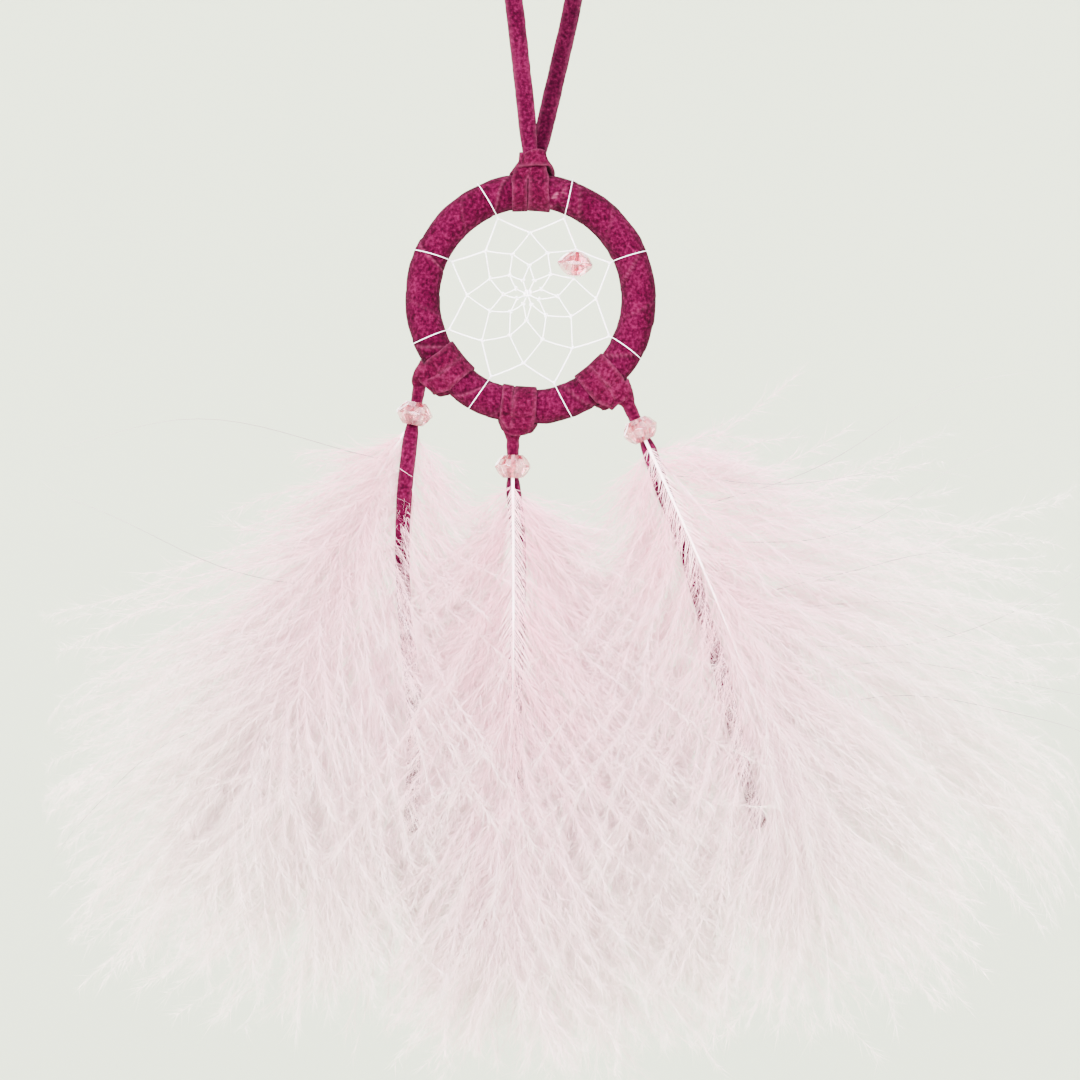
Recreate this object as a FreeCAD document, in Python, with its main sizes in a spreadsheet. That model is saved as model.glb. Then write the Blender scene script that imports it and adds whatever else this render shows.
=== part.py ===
"""A small dream catcher: a lace-wrapped hoop with a thread web, hung on a lace loop,
with three bead-and-marabou pendants. Millimetres. The hoop hangs upright in the XZ
plane and faces -Y. The origin is the inside top of the hanging loop."""

import FreeCAD, Part, Sketcher
import math
import os

Vector = FreeCAD.Vector
doc = FreeCAD.newDocument("dream_catcher")

# ---------------------------------------------------------------- driving dimensions

DIMENSIONS = {
    "loop_drop": 110.0,           # inside top of the hanging loop to the hoop's centre
    "hoop_radius": 23.5,          # centre of the hoop to the centre of its tube
    "core_diameter": 4.0,         # steel ring inside the hoop
    "wrap_thickness": 1.7,        # lace wound round the ring
    "wrap_bond": 0.05,            # glue line between ring and wrap
    "lace_thickness": 1.15,       # where nothing squeezes the lace
    "hanger_lace_width": 3.5,
    "pendant_lace_width": 3.2,
    "neck_lace_width": 2.8,       # lace squeezed just above a bead
    "hanger_hitch_width": 8.8,
    "hanger_hitch_clearance": 0.55,
    "hanger_bar_height": 3.6,     # bight of the top hitch, above its sleeve
    "hanger_bar_depth": 5.0,
    "pendant_bar_depth": 4.2,
    "bar_end_depth": 2.6,
    "hanger_bar_top_width": 6.0,
    "pendant_eye_diameter": 2.8,  # rounded end of a pendant hitch's bar
    "thread_diameter": 0.44,
    "web_knot_diameter": 0.66,
    "bead_diameter": 8.0,
    "bead_height": 5.0,
    "bead_face_diameter": 4.6,    # flat face round each mouth of the bead's hole
    "bead_hole_diameter": 3.4,
    "web_bead_diameter": 8.2,
    "web_bead_height": 5.2,
    "web_bead_hole_diameter": 1.0,
    "bead_lace_width": 2.4,
    "glue_height": 1.2,
    "quill_clearance": 0.1,       # quill to the wall of the bead's hole
    "quill_gap": 0.225,           # quill to the lace below the bead
    "quill_diameter": 0.8,
    "quill_tip_diameter": 0.3,
    "quill_length": 98.0,
    "vane_thickness": 1.0,
    "vane_start": 8.0,            # first barbs, below the bead
    "vane_root_width": 3.2,
    "joint_gap": 0.3,             # free space where one piece swings on the next
    "knot_width": 9.0,
    "knot_depth": 6.0,
    "knot_height": 7.6,
    "knot_tail_length": 11.0,
}

sheet = doc.addObject("Spreadsheet::Sheet", "Dimensions")
for row, (alias, value) in enumerate(DIMENSIONS.items(), start=1):
    sheet.set(f"A{row}", alias)
    sheet.set(f"B{row}", str(value))
    sheet.setAlias(f"B{row}", alias)
doc.recompute()


def size(alias):
    """Value of one driving dimension, read back from the sheet."""
    return float(sheet.get(alias))


def bind(obj, **expressions):
    """Ties properties of an object to the sheet's cells."""
    for name, expression in expressions.items():
        words = expression.replace("[", "Dimensions.").replace("]", "")
        obj.setExpression(name.replace("__", "."), words)


tube_radius = size("core_diameter") / 2 + size("wrap_thickness")
sleeve_radius = tube_radius + size("lace_thickness")
quill_ring = (size("bead_hole_diameter") / 2 - size("quill_clearance")
              - size("quill_diameter") / 2)   # the quills stand round the bead's hole
squeezed_lace = 2 * (quill_ring - size("quill_diameter") / 2 - size("quill_gap"))
HOOP_CENTRE = Vector(0, 0, -size("loop_drop"))
TUBE = "([core_diameter] / 2 + [wrap_thickness])"


def polar(radius, degrees, centre=HOOP_CENTRE, y=0.0):
    """Point in the hoop's plane, its angle counted from +X towards +Z."""
    angle = math.radians(degrees)
    return centre + Vector(radius * math.cos(angle), y, radius * math.sin(angle))


def lean(degrees):
    """Turn about Y that leans +Z by so many degrees towards +X."""
    return FreeCAD.Rotation(Vector(0, 1, 0), degrees)


def plane(body, role):
    """Origin plane of a body, found by its role."""
    return next(f for f in body.Origin.OriginFeatures if f.Role == role)


def sketch_on(body, role, name):
    """Empty sketch on one of the body's own origin planes."""
    sketch = body.newObject("Sketcher::SketchObject", name)
    sketch.AttachmentSupport = [(plane(body, role), "")]
    sketch.MapMode = "FlatFace"
    return sketch


def named(obj, label):
    """Gives a finished sub-part the label that names its file."""
    obj.Label = label
    FINISHED.append(obj)
    return obj


FINISHED = []
COINCIDENT, RADIUS, DISTANCE_X, DISTANCE_Y, PLACE_ON = (
    "Coincident", "Radius", "DistanceX", "DistanceY", "PointOnObject")


# ---------------------------------------------------------------- hoop: ring and wrap

def ring_section(body, radii, name):
    """Sketch of circles about the tube's centre, off the hoop's axis by its radius."""
    sketch = sketch_on(body, "XY_Plane", name)
    for index, (value, expression) in enumerate(radii):
        centre = Vector(size("hoop_radius"), 0, 0)
        sketch.addGeometry(Part.Circle(centre, Vector(0, 0, 1), value))
        sketch.addConstraint(Sketcher.Constraint(PLACE_ON, index, 3, -1))
        radius = sketch.addConstraint(Sketcher.Constraint(RADIUS, index, value))
        offset = sketch.addConstraint(
            Sketcher.Constraint(DISTANCE_X, -1, 1, index, 3, size("hoop_radius")))
        bind(sketch, **{f"Constraints[{radius}]": expression,
                        f"Constraints[{offset}]": "[hoop_radius]"})
    return sketch


def ring_body(label, radii, degrees=360.0, middle=0.0):
    """Body turned about the hoop's axis, whole or as a segment about one angle."""
    body = doc.addObject("PartDesign::Body", label + "_body")
    section = ring_section(body, radii, label + "_section")
    turned = body.newObject("PartDesign::Revolution", label + "_turn")
    turned.Profile = section
    turned.ReferenceAxis = (section, ["V_Axis"])
    turned.Angle = degrees
    turned.Midplane = degrees < 360.0
    body.Placement = FreeCAD.Placement(HOOP_CENTRE, lean(-middle))
    return body


core = (size("core_diameter") / 2, "[core_diameter] / 2")
wrap_inside = (core[0] + size("wrap_bond"), "[core_diameter] / 2 + [wrap_bond]")
wrap_outside = (tube_radius, TUBE)

named(ring_body("hoop_core", [core]), "hoop_core")
named(ring_body("hoop_wrap", [wrap_outside, wrap_inside]), "hoop_wrap")


# ---------------------------------------------------------------- web of thread

ANCHOR_ANGLES = [112.2, 67.6, 24.5, -25.4, -74.3, -117.1, -159.5, 154.5]
ROW_PULL = [0.81, 0.75, 0.66, 0.5]     # how far each row is drawn towards the middle
ROW_UNEVEN = [0.03, 0.05, 0.08, 0.12]  # hand-tied rows grow less even inwards
WEB_MIDDLE = HOOP_CENTRE + Vector(-0.7, 0, 1.2)
BEAD_ROW, BEAD_NODE = 1, 1             # the bead hangs below this knot of the web

THREAD_GAP = 0.02                      # thread to the wrap and to the outer knots
MIDDLE_KNOT = 1.8                      # the last knot, as a multiple of the others

turn_radius = tube_radius + size("thread_diameter") / 2 + THREAD_GAP
anchor_radius = (size("hoop_radius") - turn_radius - size("thread_diameter") / 2
                 - size("web_knot_diameter") / 2 - THREAD_GAP)


def next_row(row, pull, uneven, number):
    """Knots tied half way along each span of a row and drawn towards the middle."""
    knots = []
    for index, knot in enumerate(row):
        half_way = (knot + row[(index + 1) % len(row)]) / 2
        share = pull * (1 + uneven * math.sin(0.8 * index + number))
        knots.append(WEB_MIDDLE + (half_way - WEB_MIDDLE) * share)
    return knots


web_rows = [[polar(anchor_radius, angle) for angle in ANCHOR_ANGLES]]
for number, (pull, uneven) in enumerate(zip(ROW_PULL, ROW_UNEVEN)):
    web_rows.append(next_row(web_rows[-1], pull, uneven, number))

web_spans = []
for outer, inner in zip(web_rows, web_rows[1:]):
    for index, knot in enumerate(inner):
        web_spans.append((outer[index], knot))
        web_spans.append((knot, outer[(index + 1) % len(outer)]))
web_spans += [(knot, WEB_MIDDLE) for knot in web_rows[-1]]


def thread(start, end):
    """Straight piece of thread between two knots."""
    along = end - start
    return Part.makeCylinder(size("thread_diameter") / 2, along.Length, start, along)


web_knots = [knot for row in web_rows for knot in row]
knot_balls = [Part.makeSphere(size("web_knot_diameter") / 2, knot) for knot in web_knots]
knot_balls.append(
    Part.makeSphere(size("web_knot_diameter") / 2 * MIDDLE_KNOT, WEB_MIDDLE))
web_threads = [thread(start, end) for start, end in web_spans]
web_net = doc.addObject("Part::Feature", "web_net_thread")
web_net.Shape = knot_balls[0].multiFuse(knot_balls[1:] + web_threads)
named(web_net, "web_net")

turn_loops = []
for index, angle in enumerate(ANCHOR_ANGLES):
    loop = doc.addObject("Part::Torus", f"web_turn_{index + 1}")
    bind(loop, Radius1=TUBE + f" + [thread_diameter] / 2 + {THREAD_GAP}",
         Radius2="[thread_diameter] / 2")
    tangent = polar(1.0, angle + 90, Vector(0, 0, 0))
    loop.Placement = FreeCAD.Placement(
        polar(size("hoop_radius"), angle), FreeCAD.Rotation(Vector(0, 0, 1), tangent))
    turn_loops.append(loop)
web_turns = doc.addObject("Part::Compound", "web_turn_group")
web_turns.Links = turn_loops
named(web_turns, "web_turns")


# ---------------------------------------------------------------- beads

BEAD_LAND = 0.12  # half the height of the bead's rim, as a share of its own height


def bead_body(label, prefix, centre, rotation):
    """Rondelle bead turned about its hole: two flat faces and a bevelled rim."""
    height = size(prefix + "bead_height")
    hole = size(prefix + "bead_hole_diameter") / 2
    face = hole + (size("bead_face_diameter") - size("bead_hole_diameter")) / 2
    rim = size(prefix + "bead_diameter") / 2
    land = height * BEAD_LAND
    body = doc.addObject("PartDesign::Body", label + "_body")
    sketch = sketch_on(body, "XZ_Plane", label + "_section")
    outline = [(hole, -height / 2), (face, -height / 2), (rim, -land), (rim, land),
               (face, height / 2), (hole, height / 2)]
    corners = [Vector(x, y, 0) for x, y in outline]
    for index, corner in enumerate(corners):
        sketch.addGeometry(Part.LineSegment(corner, corners[(index + 1) % 6]))
    for index in range(6):
        sketch.addConstraint(
            Sketcher.Constraint(COINCIDENT, index, 2, (index + 1) % 6, 1))
    hole_side = f"[{prefix}bead_hole_diameter] / 2"
    face_edge = f"{hole_side} + ([bead_face_diameter] - [bead_hole_diameter]) / 2"
    rim_side = f"[{prefix}bead_diameter] / 2"
    face_height = f"[{prefix}bead_height] / 2"
    land_height = f"[{prefix}bead_height] * {BEAD_LAND}"
    places = [(hole_side, "-" + face_height), (face_edge, "-" + face_height),
              (rim_side, "-" + land_height), (rim_side, land_height),
              (face_edge, face_height), (hole_side, face_height)]
    for index, (corner, place) in enumerate(zip(outline, places)):
        for way, value, expression in zip((DISTANCE_X, DISTANCE_Y), corner, place):
            held = sketch.addConstraint(
                Sketcher.Constraint(way, -1, 1, index, 1, value))
            bind(sketch, **{f"Constraints[{held}]": expression})
    turned = body.newObject("PartDesign::Revolution", label + "_turn")
    turned.Profile = sketch
    turned.ReferenceAxis = (sketch, ["V_Axis"])
    turned.Angle = 360.0
    body.Placement = FreeCAD.Placement(centre, rotation)
    return named(body, label)


bead_top = web_rows[BEAD_ROW][BEAD_NODE]
bead_low = web_rows[BEAD_ROW + 1][BEAD_NODE]
web_bead_axis = (bead_top - bead_low).normalize()
web_bead_centre = (bead_top + bead_low) / 2
bead_body("web_bead", "web_", web_bead_centre,
          FreeCAD.Rotation(Vector(0, 0, 1), web_bead_axis))


# ---------------------------------------------------------------- laces

BEND_SHARE = 0.45  # an arc takes this share of the shorter of its two runs


def lace_strip(name, points, width_alias, thickness, y, round_start=False):
    """Flat lace lying in an XZ plane: straight runs joined by tangent arcs."""
    half = size(width_alias) / 2
    runs = [b - a for a, b in zip(points, points[1:])]
    lengths = [run.Length for run in runs]
    ways = [Vector(run).normalize() for run in runs]
    sides = [Vector(-way.z, 0, way.x) for way in ways]
    bends = []
    for before, after, corner, one, other in zip(
            ways, ways[1:], points[1:], lengths, lengths[1:]):
        turn = before.getAngle(after)
        trim = BEND_SHARE * min(one, other)
        bends.append((corner - before * trim, corner + after * trim,
                      trim / math.tan(turn / 2), before, after))
    print(name, "radii", [round(bend[2], 1) for bend in bends])

    def edge_line(offset):
        """Edges of the lace's border, so far to one side of its middle line."""
        edges, start = [], points[0] + sides[0] * offset
        for index, (enter, leave, radius, before, after) in enumerate(bends):
            towards = (after - before).normalize()
            centre = enter + sides[index] * math.copysign(
                radius, sides[index].dot(towards))
            reach = (enter + sides[index] * offset - centre).Length
            first = enter + sides[index] * offset
            last = leave + sides[index + 1] * offset
            middle = centre - towards * reach
            edges += [Part.LineSegment(start, first).toShape(),
                      Part.Arc(first, middle, last).toShape()]
            start = last
        edges.append(Part.LineSegment(start, points[-1] + sides[-1] * offset).toShape())
        return edges

    left, right = edge_line(half), edge_line(-half)
    left_start, right_start = points[0] + sides[0] * half, points[0] - sides[0] * half
    if round_start:
        cap = Part.Arc(left_start, points[0] - ways[0] * half, right_start).toShape()
    else:
        cap = Part.LineSegment(left_start, right_start).toShape()
    close = Part.LineSegment(points[-1] + sides[-1] * half,
                             points[-1] - sides[-1] * half).toShape()
    border = Part.Wire(Part.__sortEdges__(left + right + [cap, close]))
    face = Part.Face(border)
    face.translate(Vector(0, y - thickness / 2, 0))
    solid = face.extrude(Vector(0, thickness, 0))
    length = sum(lengths)
    length -= sum(2 * BEND_SHARE * min(a, b) for a, b in zip(lengths, lengths[1:]))
    length += sum(bend[2] * bend[3].getAngle(bend[4]) for bend in bends)
    expected = length * 2 * half * thickness
    expected += math.pi * half ** 2 / 2 * thickness if round_start else 0.0
    print(name, "length", round(length, 1), "volume share",
          round(solid.Volume / expected, 4))
    strip = doc.addObject("Part::Feature", name + "_strip")
    strip.Shape = solid
    return named(strip, name)


# The two strands of the hanging loop leave the hitch one in front of the other,
# open into a V and close again under the end knot. Heights are from the hoop's centre.
STRAND_GAP = 0.2   # between the two strands where they cross
STRAND_RISE = 1.0  # the strands run this far past the loop's inside top, into the knot
layer = size("lace_thickness") / 2 + STRAND_GAP / 2
neck_z = (size("hoop_radius") + tube_radius + size("hanger_hitch_clearance")
          + size("lace_thickness") + size("hanger_bar_height"))
strand_foot = neck_z + size("joint_gap")


def from_hoop(x, z):
    """Point of a lace's middle line, from the hoop's centre."""
    return HOOP_CENTRE + Vector(x, 0, z)


left_strand = [
    from_hoop(-0.2, strand_foot), from_hoop(-1.7, 48.0), from_hoop(-3.7, 65.0),
    from_hoop(-5.6, 79.0), from_hoop(-5.9, 91.0), from_hoop(-4.6, 101.0),
    from_hoop(-2.4, 107.0), from_hoop(-2.0, size("loop_drop") + STRAND_RISE),
]
right_strand = [
    from_hoop(2.6, strand_foot), from_hoop(5.2, 48.0), from_hoop(9.0, 65.0),
    from_hoop(10.9, 77.0), from_hoop(11.0, 87.0), from_hoop(8.6, 96.5),
    from_hoop(4.6, 103.5), from_hoop(2.3, size("loop_drop") + STRAND_RISE),
]
lace_strip("hanger_strand_left", left_strand, "hanger_lace_width",
           size("lace_thickness"), -layer)
lace_strip("hanger_strand_right", right_strand, "hanger_lace_width",
           size("lace_thickness"), layer)


# ---------------------------------------------------------------- end knot of the loop

knot_ball = doc.addObject("Part::Ellipsoid", "end_knot_ball")
bind(knot_ball, Radius1="[knot_height] / 2", Radius2="[knot_width] / 2",
     Radius3="[knot_depth] / 2")
KNOT_LIFT = 1.4   # the knot sits this far above the loop's inside top
TAIL_FOOT = 1.2   # each tail starts this far to its side of the knot's middle
TAIL_RISE = 1.0
knot_middle = Vector(0, 0, KNOT_LIFT + size("knot_height") / 2)
knot_ball.Placement.Base = knot_middle
knot_tails = []
for side, tilt in (("left", -14.0), ("right", 10.0)):
    tail = doc.addObject("Part::Box", f"end_knot_tail_{side}")
    bind(tail, Length="[hanger_lace_width]", Width="[lace_thickness]",
         Height="[knot_tail_length]")
    shift = Vector(-size("hanger_lace_width") / 2, -size("lace_thickness") / 2, 0)
    middle_y = math.copysign(layer, tilt)
    turn = lean(tilt)
    foot = knot_middle + Vector(math.copysign(TAIL_FOOT, tilt), middle_y, TAIL_RISE)
    tail.Placement = FreeCAD.Placement(foot + turn.multVec(shift), turn)
    knot_tails.append(tail)
end_knot = doc.addObject("Part::MultiFuse", "end_knot_fused")
end_knot.Shapes = [knot_ball] + knot_tails
named(end_knot, "hanger_end_knot")


# ---------------------------------------------------------------- top hitch

def block(name, width, depth, top_width, top_depth, height, placement):
    """Tapered block that stands on its base, centred on the placement."""
    wedge = doc.addObject("Part::Wedge", name)
    bind(wedge, Xmin=f"-({width}) / 2", Xmax=f"({width}) / 2",
         Zmin=f"-({depth}) / 2", Zmax=f"({depth}) / 2",
         X2min=f"-({top_width}) / 2", X2max=f"({top_width}) / 2",
         Z2min=f"-({top_depth}) / 2", Z2max=f"({top_depth}) / 2",
         Ymax=height)
    wedge.Ymin = 0
    stand = FreeCAD.Rotation(Vector(1, 0, 0), 90)  # the wedge's Y becomes +Z
    wedge.Placement = placement.multiply(FreeCAD.Placement(Vector(0, 0, 0), stand))
    return wedge


HANGER_BAR_SEAT = 0.15  # the bar starts within the sleeve, this far outside its bore
tube_top = HOOP_CENTRE + Vector(0, 0, size("hoop_radius"))
sleeve_outside = TUBE + " + [hanger_hitch_clearance] + [lace_thickness]"
sleeve_turn = FreeCAD.Rotation(Vector(0, 1, 0), 90)
sleeve_start = tube_top + Vector(-size("hanger_hitch_width") / 2, 0, 0)
hitch_sleeve = doc.addObject("Part::Cylinder", "hanger_hitch_sleeve")
bind(hitch_sleeve, Radius=sleeve_outside, Height="[hanger_hitch_width]")
hitch_sleeve.Placement = FreeCAD.Placement(sleeve_start, sleeve_turn)
hitch_bore = doc.addObject("Part::Cylinder", "hanger_hitch_bore")
bind(hitch_bore, Radius=TUBE + " + [hanger_hitch_clearance]",
     Height="[hanger_hitch_width] + 2")
hitch_bore.Placement = FreeCAD.Placement(sleeve_start - Vector(1, 0, 0), sleeve_turn)
bar_foot_radius = tube_radius + size("hanger_hitch_clearance") + HANGER_BAR_SEAT
hitch_bar = block(
    "hanger_hitch_bar", "[hanger_hitch_width]", "[hanger_bar_depth]",
    "[hanger_bar_top_width]", "[bar_end_depth]",
    f"[lace_thickness] + [hanger_bar_height] - {HANGER_BAR_SEAT}",
    FreeCAD.Placement(tube_top + Vector(0, 0, bar_foot_radius),
                      FreeCAD.Rotation()))
hitch_solid = doc.addObject("Part::MultiFuse", "hanger_hitch_solid")
hitch_solid.Shapes = [hitch_sleeve, hitch_bar]
hanger_hitch = doc.addObject("Part::Cut", "hanger_hitch_cut")
hanger_hitch.Base = hitch_solid
hanger_hitch.Tool = hitch_bore
named(hanger_hitch, "hanger_hitch")


# ---------------------------------------------------------------- pendants

# Each pendant: where its hitch sits on the hoop, where its bar points, how far the bar
# stands out, how its bead leans, its lace below the bead, and its two plumes. A plume
# is its angle round the bead's hole, its lean, its drift away from the hoop's plane,
# its length and its half width.
# Lace points are from the pendant's bead.
PENDANTS = {
    "left": dict(
        hitch=-140.2, hitch_width=9.0, bar=-143.7, bar_length=1.35, bead_lean=10.0,
        tail=[(-1.9, -13.5), (-2.7, -25.0), (-2.6, -38.0), (-1.2, -52.0),
              (0.1, -64.0), (-0.2, -77.0), (-0.9, -91.0)],
        front=dict(around=123.0, lean=27.0, drift=0.04, length=119.0, width=37.0),
        back=dict(around=57.0, lean=3.0, drift=0.14, length=131.0, width=34.0)),
    "centre": dict(
        hitch=-96.0, hitch_width=7.7, bar=-97.6, bar_length=0.85, bead_lean=0.0,
        tail=[(1.1, -13.0), (1.5, -24.5), (1.0, -36.5), (0.3, -49.5),
              (0.5, -60.5), (0.8, -71.0)],
        front=dict(around=-90.0, lean=1.0, drift=-0.0485, length=126.0, width=38.0),
        back=dict(around=90.0, lean=-4.0, drift=0.0785, length=128.0, width=40.0)),
    "right": dict(
        hitch=-49.1, hitch_width=9.0, bar=-46.4, bar_length=1.65, bead_lean=-25.0,
        tail=[(4.9, -13.0), (10.0, -26.0), (12.9, -37.0), (16.0, -47.5),
              (19.7, -60.4), (22.9, -75.6), (26.2, -86.5)],
        front=dict(around=-90.0, lean=-21.0, drift=-0.0785, length=133.0, width=36.0),
        back=dict(around=90.0, lean=-40.0, drift=0.11, length=117.0, width=39.0)),
}
NECK_SPAN = 1.0     # between the two hinge lines of a pendant's neck
BAR_SEAT = 0.3      # a bar starts this far outside the hoop's wrap, within its sleeve
BAR_INSET = 1.6     # a bar is so much narrower than its hitch
SLEEVE_GAP = 0.05   # hitch to wrap
GLUE_GAP = 0.03     # glue to lace and quills
PLUG_GAP = 0.05     # glue plug to the wall of the bead's hole
LACE_IN_BEAD = 0.8  # share of its free thickness that the lace keeps inside a bead
QUILL_IN_BEAD = 0.85  # share of the bead's height that a quill reaches up its hole
QUILL_BEND = 0.04   # the bend at a bead's mouth is so much thicker than the quill
LEAF_MIDDLE = (0.5, 0.32)     # a leaf's edge, as shares of its width and length
LEAF_SHOULDER = (0.78, 0.88)
LEAF_WIDEST = 0.66


def quill_foot(plume, z):
    """Point of a plume's quill in the bead's hole, so far above the bead's middle."""
    around = math.radians(plume["around"])
    return Vector(quill_ring * math.cos(around), quill_ring * math.sin(around), z)


def plume_placement(bead_middle, bead_turn, plume):
    """Frame at the bead's mouth whose -Z runs down the plume's quill."""
    mouth = bead_middle + bead_turn.multVec(quill_foot(plume, -size("bead_height") / 2))
    drift = math.degrees(math.atan(plume["drift"]))
    turn = lean(plume["lean"]).multiply(FreeCAD.Rotation(Vector(1, 0, 0), drift))
    return FreeCAD.Placement(mouth, turn)


def add_quill(label, bead_turn, frame):
    """Quill: a stub glued in the bead, a bend at its mouth and a long taper."""
    stub = doc.addObject("Part::Cylinder", label + "_stub")
    bind(stub, Radius="[quill_diameter] / 2", Height=f"[bead_height] * {QUILL_IN_BEAD}")
    stub.Placement = FreeCAD.Placement(frame.Base, bead_turn)
    bend = doc.addObject("Part::Sphere", label + "_bend")
    bind(bend, Radius=f"[quill_diameter] / 2 + {QUILL_BEND}")
    bend.Placement.Base = frame.Base
    taper = doc.addObject("Part::Cone", label + "_taper")
    bind(taper, Radius1="[quill_diameter] / 2", Radius2="[quill_tip_diameter] / 2",
         Height="[quill_length]")
    down = FreeCAD.Rotation(Vector(1, 0, 0), 180)
    taper.Placement = frame.multiply(FreeCAD.Placement(Vector(0, 0, 0), down))
    quill = doc.addObject("Part::MultiFuse", label + "_fused")
    quill.Shapes = [stub, bend, taper]
    return named(quill, label)


def add_vane(label, plume, frame):
    """Leaf-shaped slab that the down of one plume fills, about its quill."""
    start, root = size("vane_start"), size("vane_root_width") / 2
    length, width = plume["length"], plume["width"]

    def arc(*points):
        """Arc through three points of the leaf, given as (across, down)."""
        return Part.Arc(*[Vector(x, 0, -z) for x, z in points]).toShape()

    edges = [Part.LineSegment(Vector(-root, 0, -start), Vector(root, 0, -start)).toShape()]
    for side in (-1, 1):
        middle = (side * width * LEAF_MIDDLE[0], length * LEAF_MIDDLE[1])
        widest = (side * width, length * LEAF_WIDEST)
        shoulder = (side * width * LEAF_SHOULDER[0], length * LEAF_SHOULDER[1])
        edges.append(arc((side * root, start), middle, widest))
        edges.append(arc(widest, shoulder, (0, length)))
    face = Part.Face(Part.Wire(Part.__sortEdges__(edges)))
    face.translate(Vector(0, -size("vane_thickness") / 2, 0))
    vane = doc.addObject("Part::Feature", label + "_leaf")
    vane.Shape = face.extrude(Vector(0, size("vane_thickness"), 0))
    vane.Placement = frame
    return named(vane, label)


def add_neck(label, top, turn):
    """Short lace above the bead, rounded at both ends for its two hinges."""
    strap = doc.addObject("Part::Box", label + "_strap")
    bind(strap, Length="[neck_lace_width]", Width="[lace_thickness]",
         Height=str(NECK_SPAN))
    corner = Vector(-size("neck_lace_width") / 2, -size("lace_thickness") / 2, -NECK_SPAN)
    strap.Placement = FreeCAD.Placement(top + turn.multVec(corner), turn)
    upper = doc.addObject("Part::Cylinder", label + "_upper_end")
    bind(upper, Radius="[lace_thickness] / 2", Height="[neck_lace_width]")
    upper.Placement = FreeCAD.Placement(
        top + turn.multVec(Vector(-size("neck_lace_width") / 2, 0, 0)),
        turn.multiply(FreeCAD.Rotation(Vector(0, 1, 0), 90)))
    lower = doc.addObject("Part::Cylinder", label + "_lower_end")
    bind(lower, Radius="[neck_lace_width] / 2", Height="[lace_thickness]")
    lower.Placement = FreeCAD.Placement(
        top + turn.multVec(Vector(0, -size("lace_thickness") / 2, -NECK_SPAN)),
        turn.multiply(FreeCAD.Rotation(Vector(1, 0, 0), -90)))
    neck = doc.addObject("Part::MultiFuse", label + "_fused")
    neck.Shapes = [strap, upper, lower]
    return named(neck, label)


def add_pendant_hitch(label, pendant, eye_middle):
    """Lace knotted round the hoop: a sleeve on the tube and a bar that points out."""
    spread = math.degrees(pendant["hitch_width"] / size("hoop_radius"))
    inside = (tube_radius + SLEEVE_GAP, f"{TUBE} + {SLEEVE_GAP}")
    outside = (sleeve_radius, TUBE + " + [lace_thickness]")
    sleeve = ring_body(label + "_sleeve", [outside, inside], spread, pendant["hitch"])
    foot = polar(size("hoop_radius") + tube_radius + BAR_SEAT, pendant["bar"])
    out = FreeCAD.Placement(foot, lean(90 - pendant["bar"]))
    bar = block(label + "_bar", str(pendant["hitch_width"] - BAR_INSET),
                "[pendant_bar_depth]", "[pendant_eye_diameter]", "[bar_end_depth]",
                f"{pendant['bar_length']} + [lace_thickness] - {BAR_SEAT}", out)
    eye = doc.addObject("Part::Cylinder", label + "_eye")
    bind(eye, Radius="[pendant_eye_diameter] / 2", Height="[bar_end_depth]")
    eye.Placement = FreeCAD.Placement(
        eye_middle + Vector(0, size("bar_end_depth") / 2, 0),
        FreeCAD.Rotation(Vector(1, 0, 0), 90))
    hitch = doc.addObject("Part::MultiFuse", label + "_fused")
    hitch.Shapes = [sleeve, bar, eye]
    return named(hitch, label)


def add_bead_filling(side, middle, turn, pendant):
    """Lace through the bead and the plug of glue that holds lace and quills in it."""
    lace = doc.addObject("Part::Box", side + "_lace_in_bead")
    thin = squeezed_lace * LACE_IN_BEAD
    wide = size("bead_lace_width")
    bind(lace, Length="[bead_lace_width]", Width=str(thin), Height="[bead_height]")
    corner = Vector(-wide / 2, -thin / 2, -size("bead_height") / 2)
    lace.Placement = FreeCAD.Placement(middle + turn.multVec(corner), turn)
    named(lace, side + "_bead_lace")
    plug = doc.addObject("Part::Cylinder", side + "_glue_plug")
    bind(plug, Radius=f"[bead_hole_diameter] / 2 - {PLUG_GAP}", Height="[glue_height]")
    low = middle + turn.multVec(Vector(0, 0, -size("glue_height") / 2))
    plug.Placement = FreeCAD.Placement(low, turn)
    slots = []
    for piece in ("front", "back"):
        slot = doc.addObject("Part::Cylinder", f"{side}_glue_slot_{piece}")
        bind(slot, Radius=f"[quill_diameter] / 2 + {GLUE_GAP}",
             Height="[glue_height] + 1")
        across = quill_foot(pendant[piece], -size("glue_height") / 2 - 0.5)
        slot.Placement = FreeCAD.Placement(middle + turn.multVec(across), turn)
        slots.append(slot)
    lace_slot = doc.addObject("Part::Box", side + "_glue_slot_lace")
    bind(lace_slot, Length=f"[bead_lace_width] + {2 * GLUE_GAP}",
         Width=str(thin + 2 * GLUE_GAP), Height="[glue_height] + 1")
    corner = Vector(-wide / 2 - GLUE_GAP, -thin / 2 - GLUE_GAP,
                    -size("glue_height") / 2 - 0.5)
    lace_slot.Placement = FreeCAD.Placement(middle + turn.multVec(corner), turn)
    hollow = doc.addObject("Part::MultiFuse", side + "_glue_hollow")
    hollow.Shapes = slots + [lace_slot]
    glue = doc.addObject("Part::Cut", side + "_glue_cut")
    glue.Base = plug
    glue.Tool = hollow
    named(glue, side + "_glue")


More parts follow.
